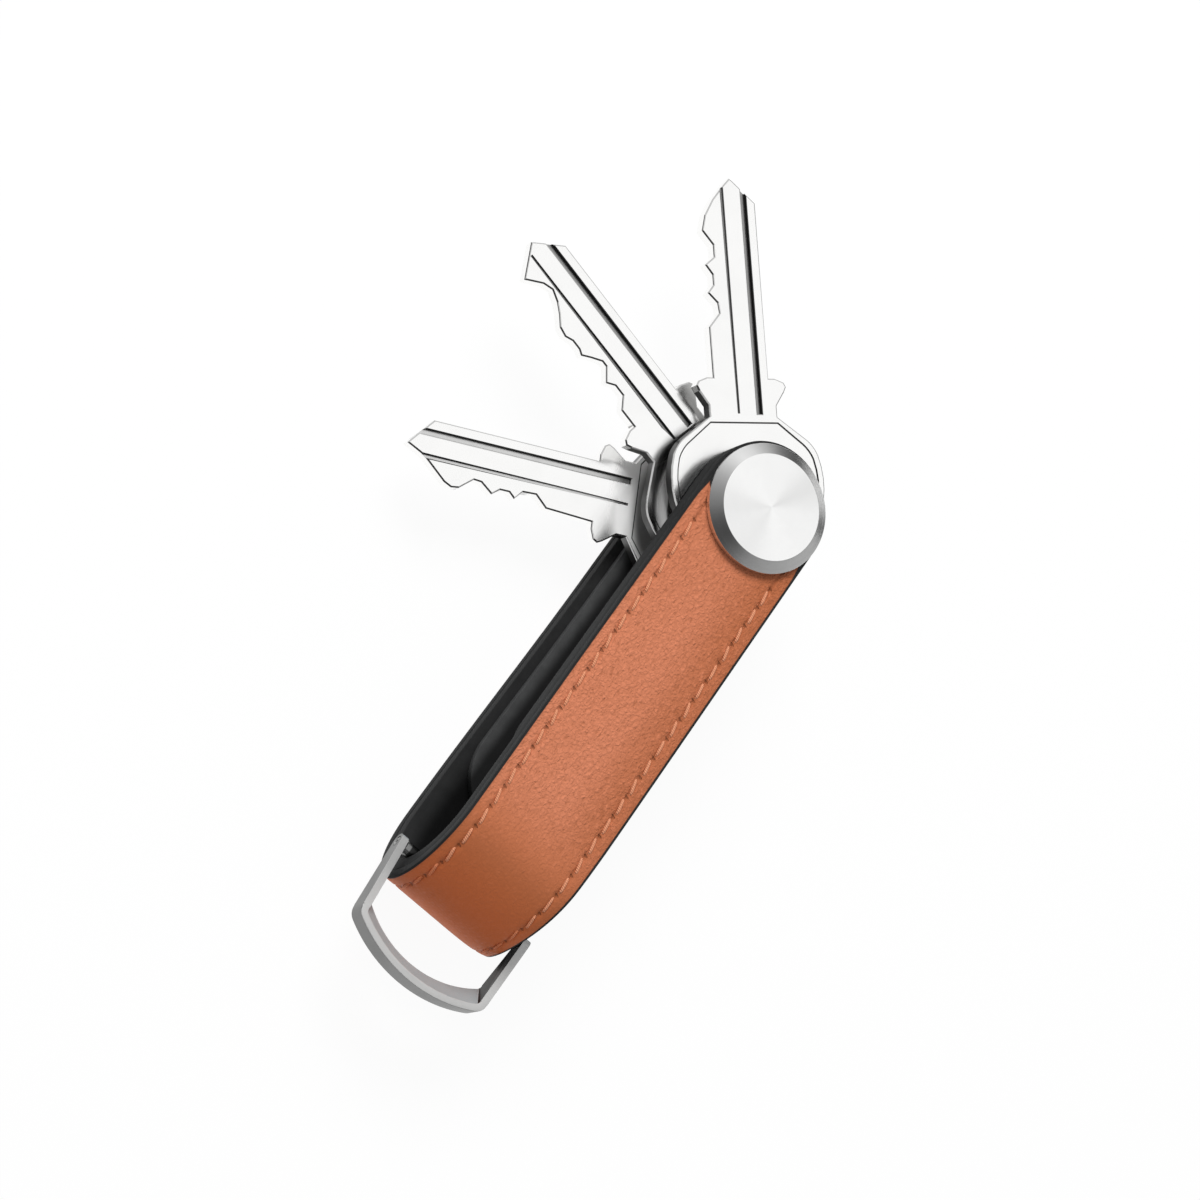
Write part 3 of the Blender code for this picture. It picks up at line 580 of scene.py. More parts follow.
def turned_metal(name, colour, roughness, line=0.06 * MM, sectors=0.0, dim_turn=None):
    """Metal turned or brushed in circles about the post.

    sectors is the strength of the bright and dark fans of a brushed face, a painted reflection, and
    dim_turn the direction, in turns about the post, in which the metal is darker as painted shade.
    """
    material, paint = new_material(name)
    radius, turn = from_axis(paint)
    place = paint.place()
    rings = paint.node("ShaderNodeTexNoise", {"noise_dimensions": "1D"}, {
        "W": radius / line, "Scale": 1, "Detail": 3, "Roughness": 0.7})
    broken = paint.noise(place, 900, 3, 0.6)
    clouds = paint.noise(place, 160, 3, 0.6)
    strokes = rings * 0.7 + broken * 0.3
    base = paint.layered(colour, (strokes.step(0.3, 0.7) * 0.16, shade_of(colour, 0.72)),
                         (clouds.step(0.45, 0.8) * 0.06, shade_of(colour, 0.7)))
    # Painted reflection: bright and dark fans round the face, as a brushed face throws back the light.
    if sectors:
        fans = ((turn + 0.2) * (2 * math.tau)).sine() * 0.5 + 0.5
        ripple = ((turn * 5 + 0.1) * math.tau).sine() * 0.5 + 0.5
        base = paint.blend((fans * 0.7 + ripple * 0.3) ** 2 * sectors, base, shade_of(colour, 0.55))
    # Painted shade: darker on the side of the bevel that turns from the light.
    if dim_turn is not None:
        facing = ((turn - dim_turn + 0.25) * math.tau).sine()
        base = paint.blend(facing.step(0.45, 1) * 0.75, base, shade_of(colour, 0.25))
    finish_surface(paint, {
        "Base Color": base,
        "Metallic": 1.0,
        "Roughness": (strokes - 0.5) * 0.12 + roughness,
        "Normal": paint.bump(strokes, 0.006 * MM, 0.5),
    })
    return material


def key_metal(name, colour, roughness, wear, painted_shadow_zone=None, matte_zone=None, painted_shadow_ear=None):
    """Nickel plate: faint rolling lines, small scratches, cloudy wear, and a painted shadow by the post.

    The shadow zone holds the distances from the post where the painted shadow starts, is full, and ends
    again, and matte_zone the outer and inner end of a matte ring.
    The shadow ear is the key's direction from the post, for a key whose right shoulder is darkened as a
    painted shadow.
    """
    material, paint = new_material(name)
    place = paint.place()
    clouds = paint.noise(place, 190, 4, 0.6)
    stretched = paint.node("ShaderNodeMapping", {}, {
        "Vector": place, "Rotation": (0, 0, math.radians(20)), "Scale": (60, 2600, 400)})
    scratches = paint.noise(stretched, 1, 3, 0.7)
    specks = paint.noise(place, 2400, 2)
    base = paint.layered(colour, (clouds.step(0.4, 0.8) * wear, shade_of(colour, 0.8)),
                         (scratches.step(0.62, 0.8) * wear, shade_of(colour, 0.6)),
                         (specks.step(0.7, 0.85) * wear, shade_of(colour, 0.6)))
    metallic = 1.0
    if painted_shadow_zone and matte_zone:
        radius, _ = from_axis(paint)
        start, full, end = painted_shadow_zone
        # Painted shadow: darker in a ring about the post, where the keys above shade this one.
        painted_shadow = radius.step(start, full) * radius.step(end - 0.6 * MM, end)
        base = paint.blend(painted_shadow * 0.85, base, shade_of(colour, 0.08))
        start, end = matte_zone
        matte = radius.step(start, start - 2.5 * MM) * radius.step(end - 0.4 * MM, end)
        metallic = 1 - matte * 0.85
    # Painted shadow on the key's right shoulder, beside the blade.
    if painted_shadow_ear:
        x, y, _ = paint.parts(place)
        off_blade = (x - PIVOT.x) * painted_shadow_ear.y - (y - PIVOT.y) * painted_shadow_ear.x
        ear = off_blade.step(4.4 * MM, 4.8 * MM) * (0.8 - off_blade.step(5.4 * MM, 7.4 * MM) * 0.3)
        base = paint.blend(ear, base, shade_of(colour, 0.12))
    finish_surface(paint, {
        "Base Color": base,
        "Metallic": metallic,
        "Roughness": (clouds - 0.5) * 0.1 + scratches * 0.05 + roughness,
        "Normal": paint.bump(scratches * 0.5 + specks * 0.2, 0.008 * MM, 0.35),
    })
    return material


def satin_metal(name, colour, roughness, metallic=1.0):
    """Blasted satin steel with rubbed patches."""
    material, paint = new_material(name)
    place = paint.place()
    clouds = paint.noise(place, 210, 4, 0.6)
    grit = paint.noise(place, 4200, 2)
    base = paint.layered(colour, (clouds.step(0.35, 0.75) * 0.22, shade_of(colour, 0.78)),
                         (grit.step(0.55, 0.8) * 0.18, shade_of(colour, 0.65)))
    finish_surface(paint, {
        "Base Color": base,
        "Metallic": metallic,
        "Roughness": (clouds - 0.5) * 0.12 + grit * 0.06 + roughness,
        "Normal": paint.bump(grit, 0.006 * MM, 0.4),
    })
    return material


def pin_material(metal):
    """The ring's pin: darkened as painted shade inside the bend, deepest between the legs and lighter at
    its ends.
    """
    material, paint = new_material("pin_steel")
    place = paint.place()
    clouds = paint.noise(place, 600, 3, 0.6)
    _, y, _ = paint.parts(place)
    end = abs(y - RING_AXIS.y).step(HALF_WIDTH + 0.1 * MM, HALF_WIDTH + 0.3 * MM)
    # Painted shade: dark between the legs, inside the bend, lighter at the pin's ends.
    dark, bright = shade_of(metal.ring_colour, 0.06), shade_of(metal.ring_colour, 0.4)
    finish_surface(paint, {
        "Base Color": paint.blend(end, dark, bright),
        "Metallic": 1.0,
        "Roughness": 0.16 + clouds * 0.15,
    })
    return material


def washer_material(metal):
    """Plain slippery plastic."""
    material, paint = new_material("washer_plastic")
    clouds = paint.noise(paint.place(), 500, 3)
    colour = metal.washer_colour
    base = paint.blend(clouds.step(0.4, 0.8) * 0.4, colour, shade_of(colour, 0.85))
    finish_surface(paint, {"Base Color": base, "Roughness": 0.4 + clouds * 0.15})
    return material


# Modelling


def add_piece(name, bm, materials, body, replaced, round_turn):
    """Turn a bmesh into a piece that rides on a body and, if one is named, stands for a solid.

    Edges that turn by more than round_turn degrees stay sharp.
    """
    mesh = bpy.data.meshes.new(name)
    bm.to_mesh(mesh)
    bm.free()
    mesh.shade_smooth()
    mesh.set_sharp_from_angle(angle=math.radians(round_turn))
    for material in materials:
        mesh.materials.append(material)
    piece = bpy.data.objects.new(name, mesh)
    bpy.context.scene.collection.objects.link(piece)
    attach(piece, body)
    if replaced:
        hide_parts(replaced)


def give_finish(node, material):
    """Put a material on a solid that stays as it is."""
    mesh = frame["nodes"][node].data
    mesh.materials.clear()
    mesh.materials.append(material)


def rear_flap(ahead, strap):
    """How far the rear flap has dropped at a distance from the post, and how steeply it drops."""
    run = FLAP_RUN - strap.flare_start
    turn = math.pi * min(max((ahead - strap.flare_start) / run, 0), 1)
    drop = REAR_FACE_Z * (1 - math.cos(turn)) / 2
    return drop, -REAR_FACE_Z * math.pi / run * math.sin(turn) / 2


def drawn_in(run, side, strap):
    """How far the far edge of the strap is drawn in, and curls inwards, where the bend stretches it."""
    if side <= 0:
        return 0, 0
    off_bend = (run - FLAP_RUN - BEND_RUN * 0.4) / (BEND_RUN * 0.3)
    share = (side / HALF_WIDTH) ** 3 * math.exp(-off_bend ** 2)
    return strap.bend_draw * share, strap.bend_curl * share * side / HALF_WIDTH


def fold(bm, strap):
    """Fold a flat piece: front flap, half turn round the bend, then the flared rear flap."""
    for vert in bm.verts:
        run, side, rise = vert.co
        draw, curl = drawn_in(run, side, strap)
        side, rise = side - draw, rise - curl
        if run <= FLAP_RUN:
            x, z = run, STRAP_HIGH.z + rise
        elif run < FLAP_RUN + BEND_RUN:
            angle = math.pi / 2 - (run - FLAP_RUN) / BEND_RADIUS
            reach = BEND_RADIUS + rise
            x = FLAP_RUN + reach * math.cos(angle)
            z = BEND_RADIUS + reach * math.sin(angle)
        else:
            ahead = STRAP_RUN - run
            drop, slope = rear_flap(ahead, strap)
            length = math.hypot(1, slope)
            x = ahead + rise * slope / length
            z = REAR_FACE_Z - drop - rise / length
        vert.co = (PIVOT.x + x, PIVOT.y + side, z)


def round_off(share_along, share_across):
    """Place on a half disc for a place on a square, with no pole."""
    return (share_along * math.sqrt(1 - share_across ** 2 / 2),
            share_across * math.sqrt(1 - share_along ** 2 / 2))


def flat_sheet(start, end, start_round, end_round, half_width, steps, places):
    """A flat sheet on X from start to end with rounded ends, and lines at the places across it."""
    bm = bmesh.new()
    bmesh.ops.create_grid(bm, x_segments=steps, y_segments=len(places) - 1, size=0.5)
    inner_start, inner_end = start + start_round, end - end_round
    for vert in bm.verts:
        run = start + (vert.co.x + 0.5) * (end - start)
        side = places[round((vert.co.y + 0.5) * (len(places) - 1))]
        if run < inner_start:
            along, across = round_off((inner_start - run) / start_round, side)
            vert.co = (inner_start - along * start_round, across * half_width, 0)
        elif run > inner_end:
            along, across = round_off((run - inner_end) / end_round, side)
            vert.co = (inner_end + along * end_round, across * half_width, 0)
        else:
            vert.co = (run, side * half_width, 0)
    return bm


def thicken(bm, top, bottom):
    """Give a flat sheet its two faces, at heights top and bottom."""
    for vert in bm.verts:
        vert.co.z = top
    grown = bmesh.ops.extrude_face_region(bm, geom=bm.faces[:])
    lower = [item for item in grown["geom"] if isinstance(item, bmesh.types.BMVert)]
    bmesh.ops.translate(bm, verts=lower, vec=(0, 0, bottom - top))
    bmesh.ops.recalc_face_normals(bm, faces=bm.faces)


def rim_edges(bm, height):
    """The sharp edges round a thickened sheet at one height."""
    return [edge for edge in bm.edges
            if edge.calc_face_angle(0) > 1 and all(abs(v.co.z - height) < 1e-6 for v in edge.verts)]


def round_edges(bm, edges, width, segments, clamped=True):
    """Round edges off, and return the new faces."""
    made = bmesh.ops.bevel(bm, geom=edges, offset=width, segments=segments, profile=0.5,
                           affect="EDGES", material=-1, clamp_overlap=clamped)
    return made["faces"]


def punch(bm, places, radius):
    """Cut round holes through a flat piece with an exact Boolean."""
    body = bpy.data.meshes.new("punched")
    bm.to_mesh(body)
    target = bpy.data.objects.new("punched", body)
    cutter_bm = bmesh.new()
    for place in places:
        bmesh.ops.create_cone(cutter_bm, cap_ends=True, segments=64, radius1=radius, radius2=radius,
                              depth=0.02, matrix=Matrix.Translation((place, 0, 0)))
    cutter_mesh = bpy.data.meshes.new("punch")
    cutter_bm.to_mesh(cutter_mesh)
    cutter_bm.free()
    cutter = bpy.data.objects.new("punch", cutter_mesh)
    for obj in (target, cutter):
        bpy.context.scene.collection.objects.link(obj)
    modifier = target.modifiers.new("hole", "BOOLEAN")
    modifier.operation = "DIFFERENCE"
    modifier.solver = "EXACT"
    modifier.object = cutter
    bpy.context.view_layer.update()
    graph = bpy.context.evaluated_depsgraph_get()
    result = bpy.data.meshes.new_from_object(target.evaluated_get(graph))
    bm.clear()
    bm.from_mesh(result)
    for obj in (target, cutter):
        bpy.data.objects.remove(obj, do_unlink=True)
    for mesh in (body, cutter_mesh, result):
        bpy.data.meshes.remove(mesh)


def even_places(count):
    """Places across a sheet, from -1 to 1 in equal steps."""
    return [-1 + 2 * i / count for i in range(count + 1)]


def strap_lines(strap):
    """Places across the strap, close together at the edges and stitch rows, as shares of its half."""
    inset = strap.stitch_inset
    from_edge = [0, 0.3 * MM, 0.75 * MM, inset - 0.8 * MM, inset - 0.45 * MM, inset - 0.22 * MM,
                 inset - 0.08 * MM, inset + 0.08 * MM, inset + 0.22 * MM, inset + 0.45 * MM,
                 inset + 0.8 * MM, 4 * MM, 5.4 * MM, 6.8 * MM, 8.2 * MM]
    half = [-(1 - depth / HALF_WIDTH) for depth in from_edge]
    return half + [0] + [-place for place in reversed(half)]


def make_leather(strap):
    """The outer leather, with a sewn channel along each edge and black painted edges."""
    front_round = HALF_WIDTH + strap.end_overhang
    bm = flat_sheet(-front_round, STRAP_RUN + HALF_WIDTH, front_round, HALF_WIDTH, HALF_WIDTH,
                    LEATHER_STEPS, strap_lines(strap))
    thicken(bm, 0, -LEATHER_INSIDE)
    painted = set(round_edges(bm, rim_edges(bm, 0), strap.edge_round, 4))
    painted |= set(round_edges(bm, rim_edges(bm, -LEATHER_INSIDE), strap.edge_round / 2, 2))
    row = HALF_WIDTH - strap.stitch_inset
    tanned, black = range(2)
    for face in bm.faces:
        run, side, _ = face.calc_center_median()
        past = max(-run, run - STRAP_RUN, 0)
        on_side = abs(side) > HALF_WIDTH - SIDE_BAND
        on_end = past > 0 and math.hypot(past, side) > HALF_WIDTH - END_BAND
        is_black = face in painted or face.normal.z < 0.5 or on_side or on_end
        face.material_index = black if is_black else tanned
    for vert in bm.verts:
        if vert.co.z > -strap.edge_round:
            off_row = (abs(vert.co.y) - row) / CHANNEL_REACH
            vert.co.z -= strap.channel_depth * math.exp(-off_row ** 2)
    punch(bm, (0, STRAP_RUN), STRAP_HOLE_RADIUS)
    uv = bm.loops.layers.uv.new("strap_run")
    for face in bm.faces:
        for loop in face.loops:
            run, side, _ = loop.vert.co
            loop[uv].uv = ((run + HALF_WIDTH) / (STRAP_RUN + 2 * HALF_WIDTH),
                           side / (2 * HALF_WIDTH) + 0.5)
    fold(bm, strap)
    return bm


def make_lining(strap):
    """The lining inside the leather, with softly rounded edges."""
    front_round = HALF_WIDTH + strap.end_overhang
    bm = flat_sheet(-front_round, STRAP_RUN + HALF_WIDTH, front_round, HALF_WIDTH,
                    HALF_WIDTH - LINING_INSET, LINING_STEPS, even_places(14))
    thicken(bm, -LINING_OUTSIDE, -LINING_INSIDE)
    round_edges(bm, rim_edges(bm, -LINING_OUTSIDE), strap.lining_edge_round * 0.6, 3)
    round_edges(bm, rim_edges(bm, -LINING_INSIDE), strap.lining_edge_round, 4)
    punch(bm, (0, STRAP_RUN), STRAP_HOLE_RADIUS)
    fold(bm, strap)
    return bm


def make_pad(strap, is_front):
    """A stiff pad inside one flap: round at the post, rounded off towards the bend."""
    half_width = PIVOT.x - (FRONT_PAD_LOW.x if is_front else REAR_PAD_LOW.x)
    if is_front:
        bm = flat_sheet(-half_width, PAD_RUN, half_width, PAD_END_ROUND, half_width,
                        PAD_STEPS, even_places(16))
    else:
        bm = flat_sheet(STRAP_RUN - PAD_RUN, STRAP_RUN + half_width, PAD_END_ROUND, half_width,
                        half_width, PAD_STEPS, even_places(12))
    thicken(bm, -PAD_OUTSIDE, -PAD_INSIDE)
    rounding = strap.front_pad_round if is_front else strap.rear_pad_round
    round_edges(bm, rim_edges(bm, -PAD_INSIDE), rounding, 5)
    punch(bm, (0 if is_front else STRAP_RUN,), PAD_HOLE_RADIUS)
    fold(bm, strap)
    return bm


def make_stitch(strap, length):
    """One stitch: a thread that dives into its needle holes at both ends."""
    bm = bmesh.new()
    bmesh.ops.create_cone(bm, cap_ends=True, segments=8, radius1=strap.thread_radius,
                          radius2=strap.thread_radius, depth=length,
                          matrix=Matrix.Rotation(math.pi / 2, 4, "Y"))
    long_edges = [edge for edge in bm.edges
                  if abs(edge.verts[0].co.x - edge.verts[1].co.x) > length / 2]
    bmesh.ops.subdivide_edges(bm, edges=long_edges, cuts=9)
    uv = bm.loops.layers.uv.new("thread_run")
    for face in bm.faces:
        for loop in face.loops:
            x, y, z = loop.vert.co
            loop[uv].uv = (x / length + 0.5, math.atan2(z, y) / math.tau + 0.5)
    for vert in bm.verts:
        share = min(abs(vert.co.x) / (length / 2), 1)
        vert.co.z -= strap.thread_radius * 2.1 * share ** 5
        vert.co.y *= 1 - 0.35 * share ** 3
    return bm


def make_stitching(strap):
    """Both rows of stitches, from the front disc round the bend to the rear disc."""
    row = HALF_WIDTH - strap.stitch_inset
    clear_run = math.sqrt(DISC_RADIUS ** 2 - row ** 2)
    first = math.ceil((clear_run + STITCH_CLEARANCE) / strap.stitch_pitch)
    last = math.floor((STRAP_RUN - clear_run) / strap.stitch_pitch)
    one = make_stitch(strap, strap.stitch_pitch - STITCH_GAP)
    stitch = bpy.data.meshes.new("one_stitch")
    one.to_mesh(stitch)
    one.free()
    bm = bmesh.new()
    for side in (-1, 1):
        for beat in range(first, last):
            before = set(bm.verts)
            bm.from_mesh(stitch)
            new = [vert for vert in bm.verts if vert not in before]
            middle = (beat + 1) * strap.stitch_pitch
            wobble = STITCH_WOBBLE * math.sin(beat * 2.4 + side)
            turn = Matrix.Rotation(strap.stitch_slant * (1 + 0.3 * math.sin(beat * 1.7)), 3, "Z")
            bmesh.ops.rotate(bm, verts=new, cent=(0, 0, 0), matrix=turn)
            proud = STITCH_PROUD if middle < FLAP_RUN + BEND_RUN / 2 else 0
            sink = strap.thread_radius - proud
            bmesh.ops.translate(bm, verts=new, vec=(middle, side * row + wobble, -sink))
    bpy.data.meshes.remove(stitch)
    fold(bm, strap)
    return bm


def spun(profile, axis, steps):
    """Spin a closed profile of (radius, height) points about an upright axis."""
    bm = bmesh.new()
    ring = [bm.verts.new((axis.x + radius, axis.y, height)) for radius, height in profile]
    pairs = list(zip(ring, ring[1:] + ring[:1]))
    for near, far in pairs:
        if abs(near.co.x - axis.x) > 0 or abs(far.co.x - axis.x) > 0:
            bm.edges.new((near, far))
    bmesh.ops.spin(bm, geom=bm.verts[:] + bm.edges[:], cent=(axis.x, axis.y, 0), axis=(0, 0, 1),
                   angle=math.tau, steps=steps, use_merge=True)
    bmesh.ops.remove_doubles(bm, verts=bm.verts, dist=1e-6)
    bmesh.ops.recalc_face_normals(bm, faces=bm.faces)
    return bm


def sharp_edges(bm, least_turn):
    """The edges at which the surface turns by more than an angle."""
    return [edge for edge in bm.edges if edge.calc_face_angle(0) > least_turn]


def finished_disc(profile, metal, outward):
    """A disc spun from its profile, with rounded edges and a finish of its own on its broad bevel.

    outward is 1 for a disc that faces up and -1 for one that faces down.
    """
    bm = spun(profile, PIVOT, metal.disc_steps)
    round_edges(bm, sharp_edges(bm, math.radians(20)), metal.disc_edge, 3)
    turned, bevelled = range(2)
    for face in bm.faces:
        is_outer = (face.calc_center_median() - PIVOT).xy.length > DISC_RADIUS - metal.disc_bevel
        is_sloping = 0.3 < face.normal.z * outward < 0.95
        face.material_index = bevelled if is_outer and is_sloping else turned
    return bm


def make_front_disc(metal):
    """The front disc: flat face, broad bevel, and the pocket that holds the post."""
    low, high = FRONT_DISC_LOW.z, FRONT_DISC_HIGH.z
    post_low, post_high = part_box("pivot_post")
    pocket = (post_high.x - post_low.x) / 2 + BOND_GAP
    pocket_top = post_high.z + BOND_GAP
    face_radius = DISC_RADIUS - metal.disc_bevel
    profile = [(0, pocket_top), (pocket, pocket_top), (pocket, low), (DISC_RADIUS, low),
               (DISC_RADIUS, low + metal.disc_wall), (face_radius, high), (0, high)]
    return finished_disc(profile, metal, 1)


def make_rear_disc(metal):
    """The rear disc, with the seat for the screw's head."""
    low, high = REAR_DISC_LOW.z, REAR_DISC_HIGH.z
    head_low, head_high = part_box("lock_screw")
    post_low, post_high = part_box("pivot_post")
    head_room = (head_high.x - head_low.x) / 2 + BOND_GAP
    pocket = (post_high.x - post_low.x) / 2 + BOND_GAP
    seat = post_low.z - BOND_GAP
    face_radius = DISC_RADIUS - metal.disc_bevel
    profile = [(head_room, low), (face_radius, low), (DISC_RADIUS, high - metal.disc_wall),
               (DISC_RADIUS, high), (pocket, high), (pocket, seat), (head_room, seat)]
    return finished_disc(profile, metal, -1)


def copied(node, joined=NO_LENGTH):
    """A bmesh of a solid, with its loose triangles joined and its flat faces whole."""
    bm = bmesh.new()
    bm.from_mesh(frame["nodes"][node].data)
    bmesh.ops.remove_doubles(bm, verts=bm.verts, dist=joined)
    bmesh.ops.dissolve_limit(bm, angle_limit=math.radians(0.3), verts=bm.verts, edges=bm.edges)
    return bm


def broken_copy(node, least_turn, width, segments):
    """A copy of a solid, with the edges that turn by more than least_turn degrees broken."""
    bm = copied(node)
    round_edges(bm, sharp_edges(bm, math.radians(least_turn)), width, segments)
    return bm


def on_ring_outline(edge):
    """Whether an edge lies clear of the holes that the cross pin passes through."""
    return all((v.co - RING_AXIS).xz.length > PIN_HOLE_REACH for v in edge.verts)


def make_ring(metal):
    """The ring: its front strip, outer wall, bow's inside and legs' insides each have a material, the
    wall and insides darkened as painted shade.
    """
    bm = copied("d_ring", 0.08 * MM)
    level = Matrix.Rotation(metal.ring_tilt, 3, "Y")
    # The wall and both insides take the steel darkened as painted shade.
    front, wall, inside, leg_inside = range(4)
    for face in bm.faces:
        out = face.calc_center_median() - RING_AXIS
        ahead, across, up = level @ face.normal
        across *= math.copysign(1, out.y)
        if abs(up) > 0.8:
            face.material_index = front
        elif ahead > 0.5 or across > 0.5:
            face.material_index = wall
        else:
            face.material_index = inside if ahead < -0.5 else leg_inside
    outer = [edge for edge in sharp_edges(bm, math.radians(30)) if on_ring_outline(edge)]
    round_edges(bm, outer, metal.ring_edge, 3, False)
    return bm


def key_direction(node):
    """Direction in which a key points from the post."""
    points = [(vert.co - PIVOT).xy for vert in frame["nodes"][node].data.vertices]
    return max(points, key=lambda point: point.length).normalized()


def height_of(face):
    """Height from a face's lowest corner to its highest."""
    return max(v.co.z for v in face.verts) - min(v.co.z for v in face.verts)


def on_bow_corner(edge):
    """Whether an edge is the corner where the round of a key's bow meets its straight shoulder."""
    lean = (edge.verts[1].co - edge.verts[0].co).xy.length
    is_near = (edge.verts[0].co - PIVOT).xy.length < BOW_CORNER_REACH
    turn = math.degrees(edge.calc_face_angle(0))
    return lean < NO_LENGTH and is_near and 25 < turn < 34


def outer_edges(bm, height):
    """The sharp edges of a key at one height, without its shallow panels and the grooves' ends."""
    edges = []
    for edge in bm.edges:
        if edge.calc_face_angle(0) > 1 and all(abs(v.co.z - height) < NO_LENGTH for v in edge.verts):
            wall = max(height_of(face) for face in edge.link_faces)
            if wall > TALL_WALL or wall > LOW_WALL and edge.calc_length() > SHORT_EDGE:
                edges.append(edge)
    return edges


def make_key(node, metal):
    """A key: broken outer edges, painted shade in the grooves, on the chamfers and on the bow's wall, and
    a painted highlight on the cut edge.
    """
    bm = copied(node)
    low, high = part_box(node)

    def depth(face):
        """How deep a face lies under the nearer of the key's two faces."""
        middle = face.calc_center_median()
        return min(middle.z - low.z, high.z - middle.z)

    round_edges(bm, [edge for edge in bm.edges if on_bow_corner(edge)], metal.bow_corner, 4)
    broken = set()
    for height, width in ((high.z, metal.key_edge), (low.z, metal.key_edge / 5)):
        broken |= set(round_edges(bm, outer_edges(bm, height), width, 2, False))
    panels = [face for face in bm.faces
              if abs(face.normal.z) > 0.99 and PANEL_LEAST < depth(face) < PANEL_MOST]
    lines = bmesh.ops.inset_region(bm, faces=panels, thickness=metal.panel_line, use_even_offset=True)
    panel_lines = set(lines["faces"])
    # The grooves, panel lines, chamfers, bow walls and groove floors take painted shade, the cut edge a
    # painted highlight.
    groove, cut_edge, chamfer, bow_edge, groove_floor = range(1, 6)
    for face in bm.faces:
        is_flat = abs(face.normal.z) > 0.9
        on_bow = (face.calc_center_median() - PIVOT).xy.length < BOW_REACH
        if face in broken:
            is_lit = face.normal.x > 0.3 and face.normal.z > 0 and not on_bow
            face.material_index = groove if is_lit else chamfer
        elif face in panel_lines:
            face.material_index = groove
        elif is_flat and depth(face) > GROOVE_LEAST:
            face.material_index = groove_floor
        elif not is_flat:
            is_low = height_of(face) < (high.z - low.z) / 2
            face.material_index = groove if is_low else bow_edge if on_bow else cut_edge
    return bm


# Stage


def make_floor(stage):
    """A white floor that takes the object's shadow and lights nothing."""
    bm = bmesh.new()
    bmesh.ops.create_grid(bm, x_segments=1, y_segments=1, size=stage.floor_size / 2)
    mesh = bpy.data.meshes.new("floor")
    bm.to_mesh(mesh)
    bm.free()
    floor = bpy.data.objects.new("floor", mesh)
    bpy.context.scene.collection.objects.link(floor)
    material, paint = new_material("white_floor")
    direct, glossy, clear = paint.rays()
    x, y, _ = paint.parts(paint.place())
    far = ((x * x + y * y) ** 0.5).step(0.12, 0.4)
    glow = paint.blend(far * (1 - direct), (1, 1, 1), (0.06, 0.06, 0.06))
    white = paint.node("ShaderNodeEmission", {}, {"Color": glow, "Strength": 1})
    paper = paint.node("ShaderNodeBsdfDiffuse", {}, {"Color": (0.95, 0.95, 0.95, 1)})
    seen = direct * (1 - stage.shadow_share) + (glossy + clear)
    mixed = paint.node("ShaderNodeMixShader", {}, {0: seen.clamped(), 1: paper, 2: white})
    paint.node("ShaderNodeOutputMaterial", {}, {"Surface": mixed})
    mesh.materials.append(material)


def make_room(stage):
    """An even room: white to the camera, and to metal a bright sky over a dark horizon."""
    world = bpy.data.worlds.new("room")
    bpy.context.scene.world = world
    world.use_nodes = True
    world.node_tree.nodes.clear()
    paint = Paint(world.node_tree)
    x, _, z = paint.parts(paint.node("ShaderNodeTexCoord", output="Generated"))
    height = (z - x * 0.5) * 0.5 + 0.5
    lights = ((0.30, 0.5), (0.44, 0.2), (0.60, 0.17), (0.645, 0.46), (0.67, 0.4), (0.695, 0.19),
              (0.75, 0.1), (0.80, 0.2), (0.83, 0.42), (0.86, 0.55), (0.88, 0.75), (0.92, 0.92), (0.96, 1))
    stops = [(place, (light, light, light, 1)) for place, light in lights]
    sky = paint.node("ShaderNodeValToRGB", {"stops": stops}, {"Fac": height})
    direct, glossy, clear = paint.rays()
    mirror = (glossy + clear).clamped()
    even = (stage.ambient, stage.ambient, stage.ambient)
    colour = paint.blend(direct, paint.blend(mirror, even, sky), (1, 1, 1))
    background = paint.node("ShaderNodeBackground", {}, {"Color": colour, "Strength": 1})
    paint.node("ShaderNodeOutputWorld", {}, {"Surface": background})


def make_lamp(name, place, target, size, power):
    """A square soft box that no metal mirrors."""
    data = bpy.data.lights.new(name, "AREA")
    data.shape = "SQUARE"
    data.size = size
    data.energy = power
    lamp = bpy.data.objects.new(name, data)
    bpy.context.scene.collection.objects.link(lamp)
    lamp.location = place
    lamp.rotation_euler = (Vector(target) - Vector(place)).to_track_quat("-Z", "Y").to_euler()
    lamp.visible_glossy = False


def make_camera(stage):
    """The camera of the photo, placed from the post."""
    right = Vector((-0.5406374, 0.7193721, 0.4361364))
    down = Vector((0.752818, 0.6450949, -0.1308344))
    ahead = Vector((-0.375468, 0.2575974, -0.8903187))
    from_post = Vector((180.1979, -116.9239, 387.1384)) * MM
    data = bpy.data.cameras.new("photo_camera")
    data.sensor_width = 36
    data.lens = stage.camera_lens
    data.clip_start = 0.01
    camera = bpy.data.objects.new("photo_camera", data)
    bpy.context.scene.collection.objects.link(camera)
    turned = Matrix((right, -down, -ahead)).transposed().to_4x4()
    place = Vector((PIVOT.x, PIVOT.y, 0)) + from_post
    camera.matrix_world = Matrix.Translation(place) @ turned
    bpy.context.scene.camera = camera


# Operators


class ORGANIZER_OT_stage(bpy.types.Operator):
    """Add the floor, the soft light, the room and the camera"""

    bl_idname = "organizer.stage"
    bl_label = "Stage"

    def execute(self, context):
        stage = context.scene.organizer_stage
        make_floor(stage)
        make_room(stage)
        make_lamp("soft_box", place=(-0.42, -0.34, 0.62), target=(0, 0.01, 0.01), size=0.42,
                  power=stage.lamp_power)
        make_camera(stage)
        context.scene.view_settings.view_transform = "Standard"
        return {"FINISHED"}


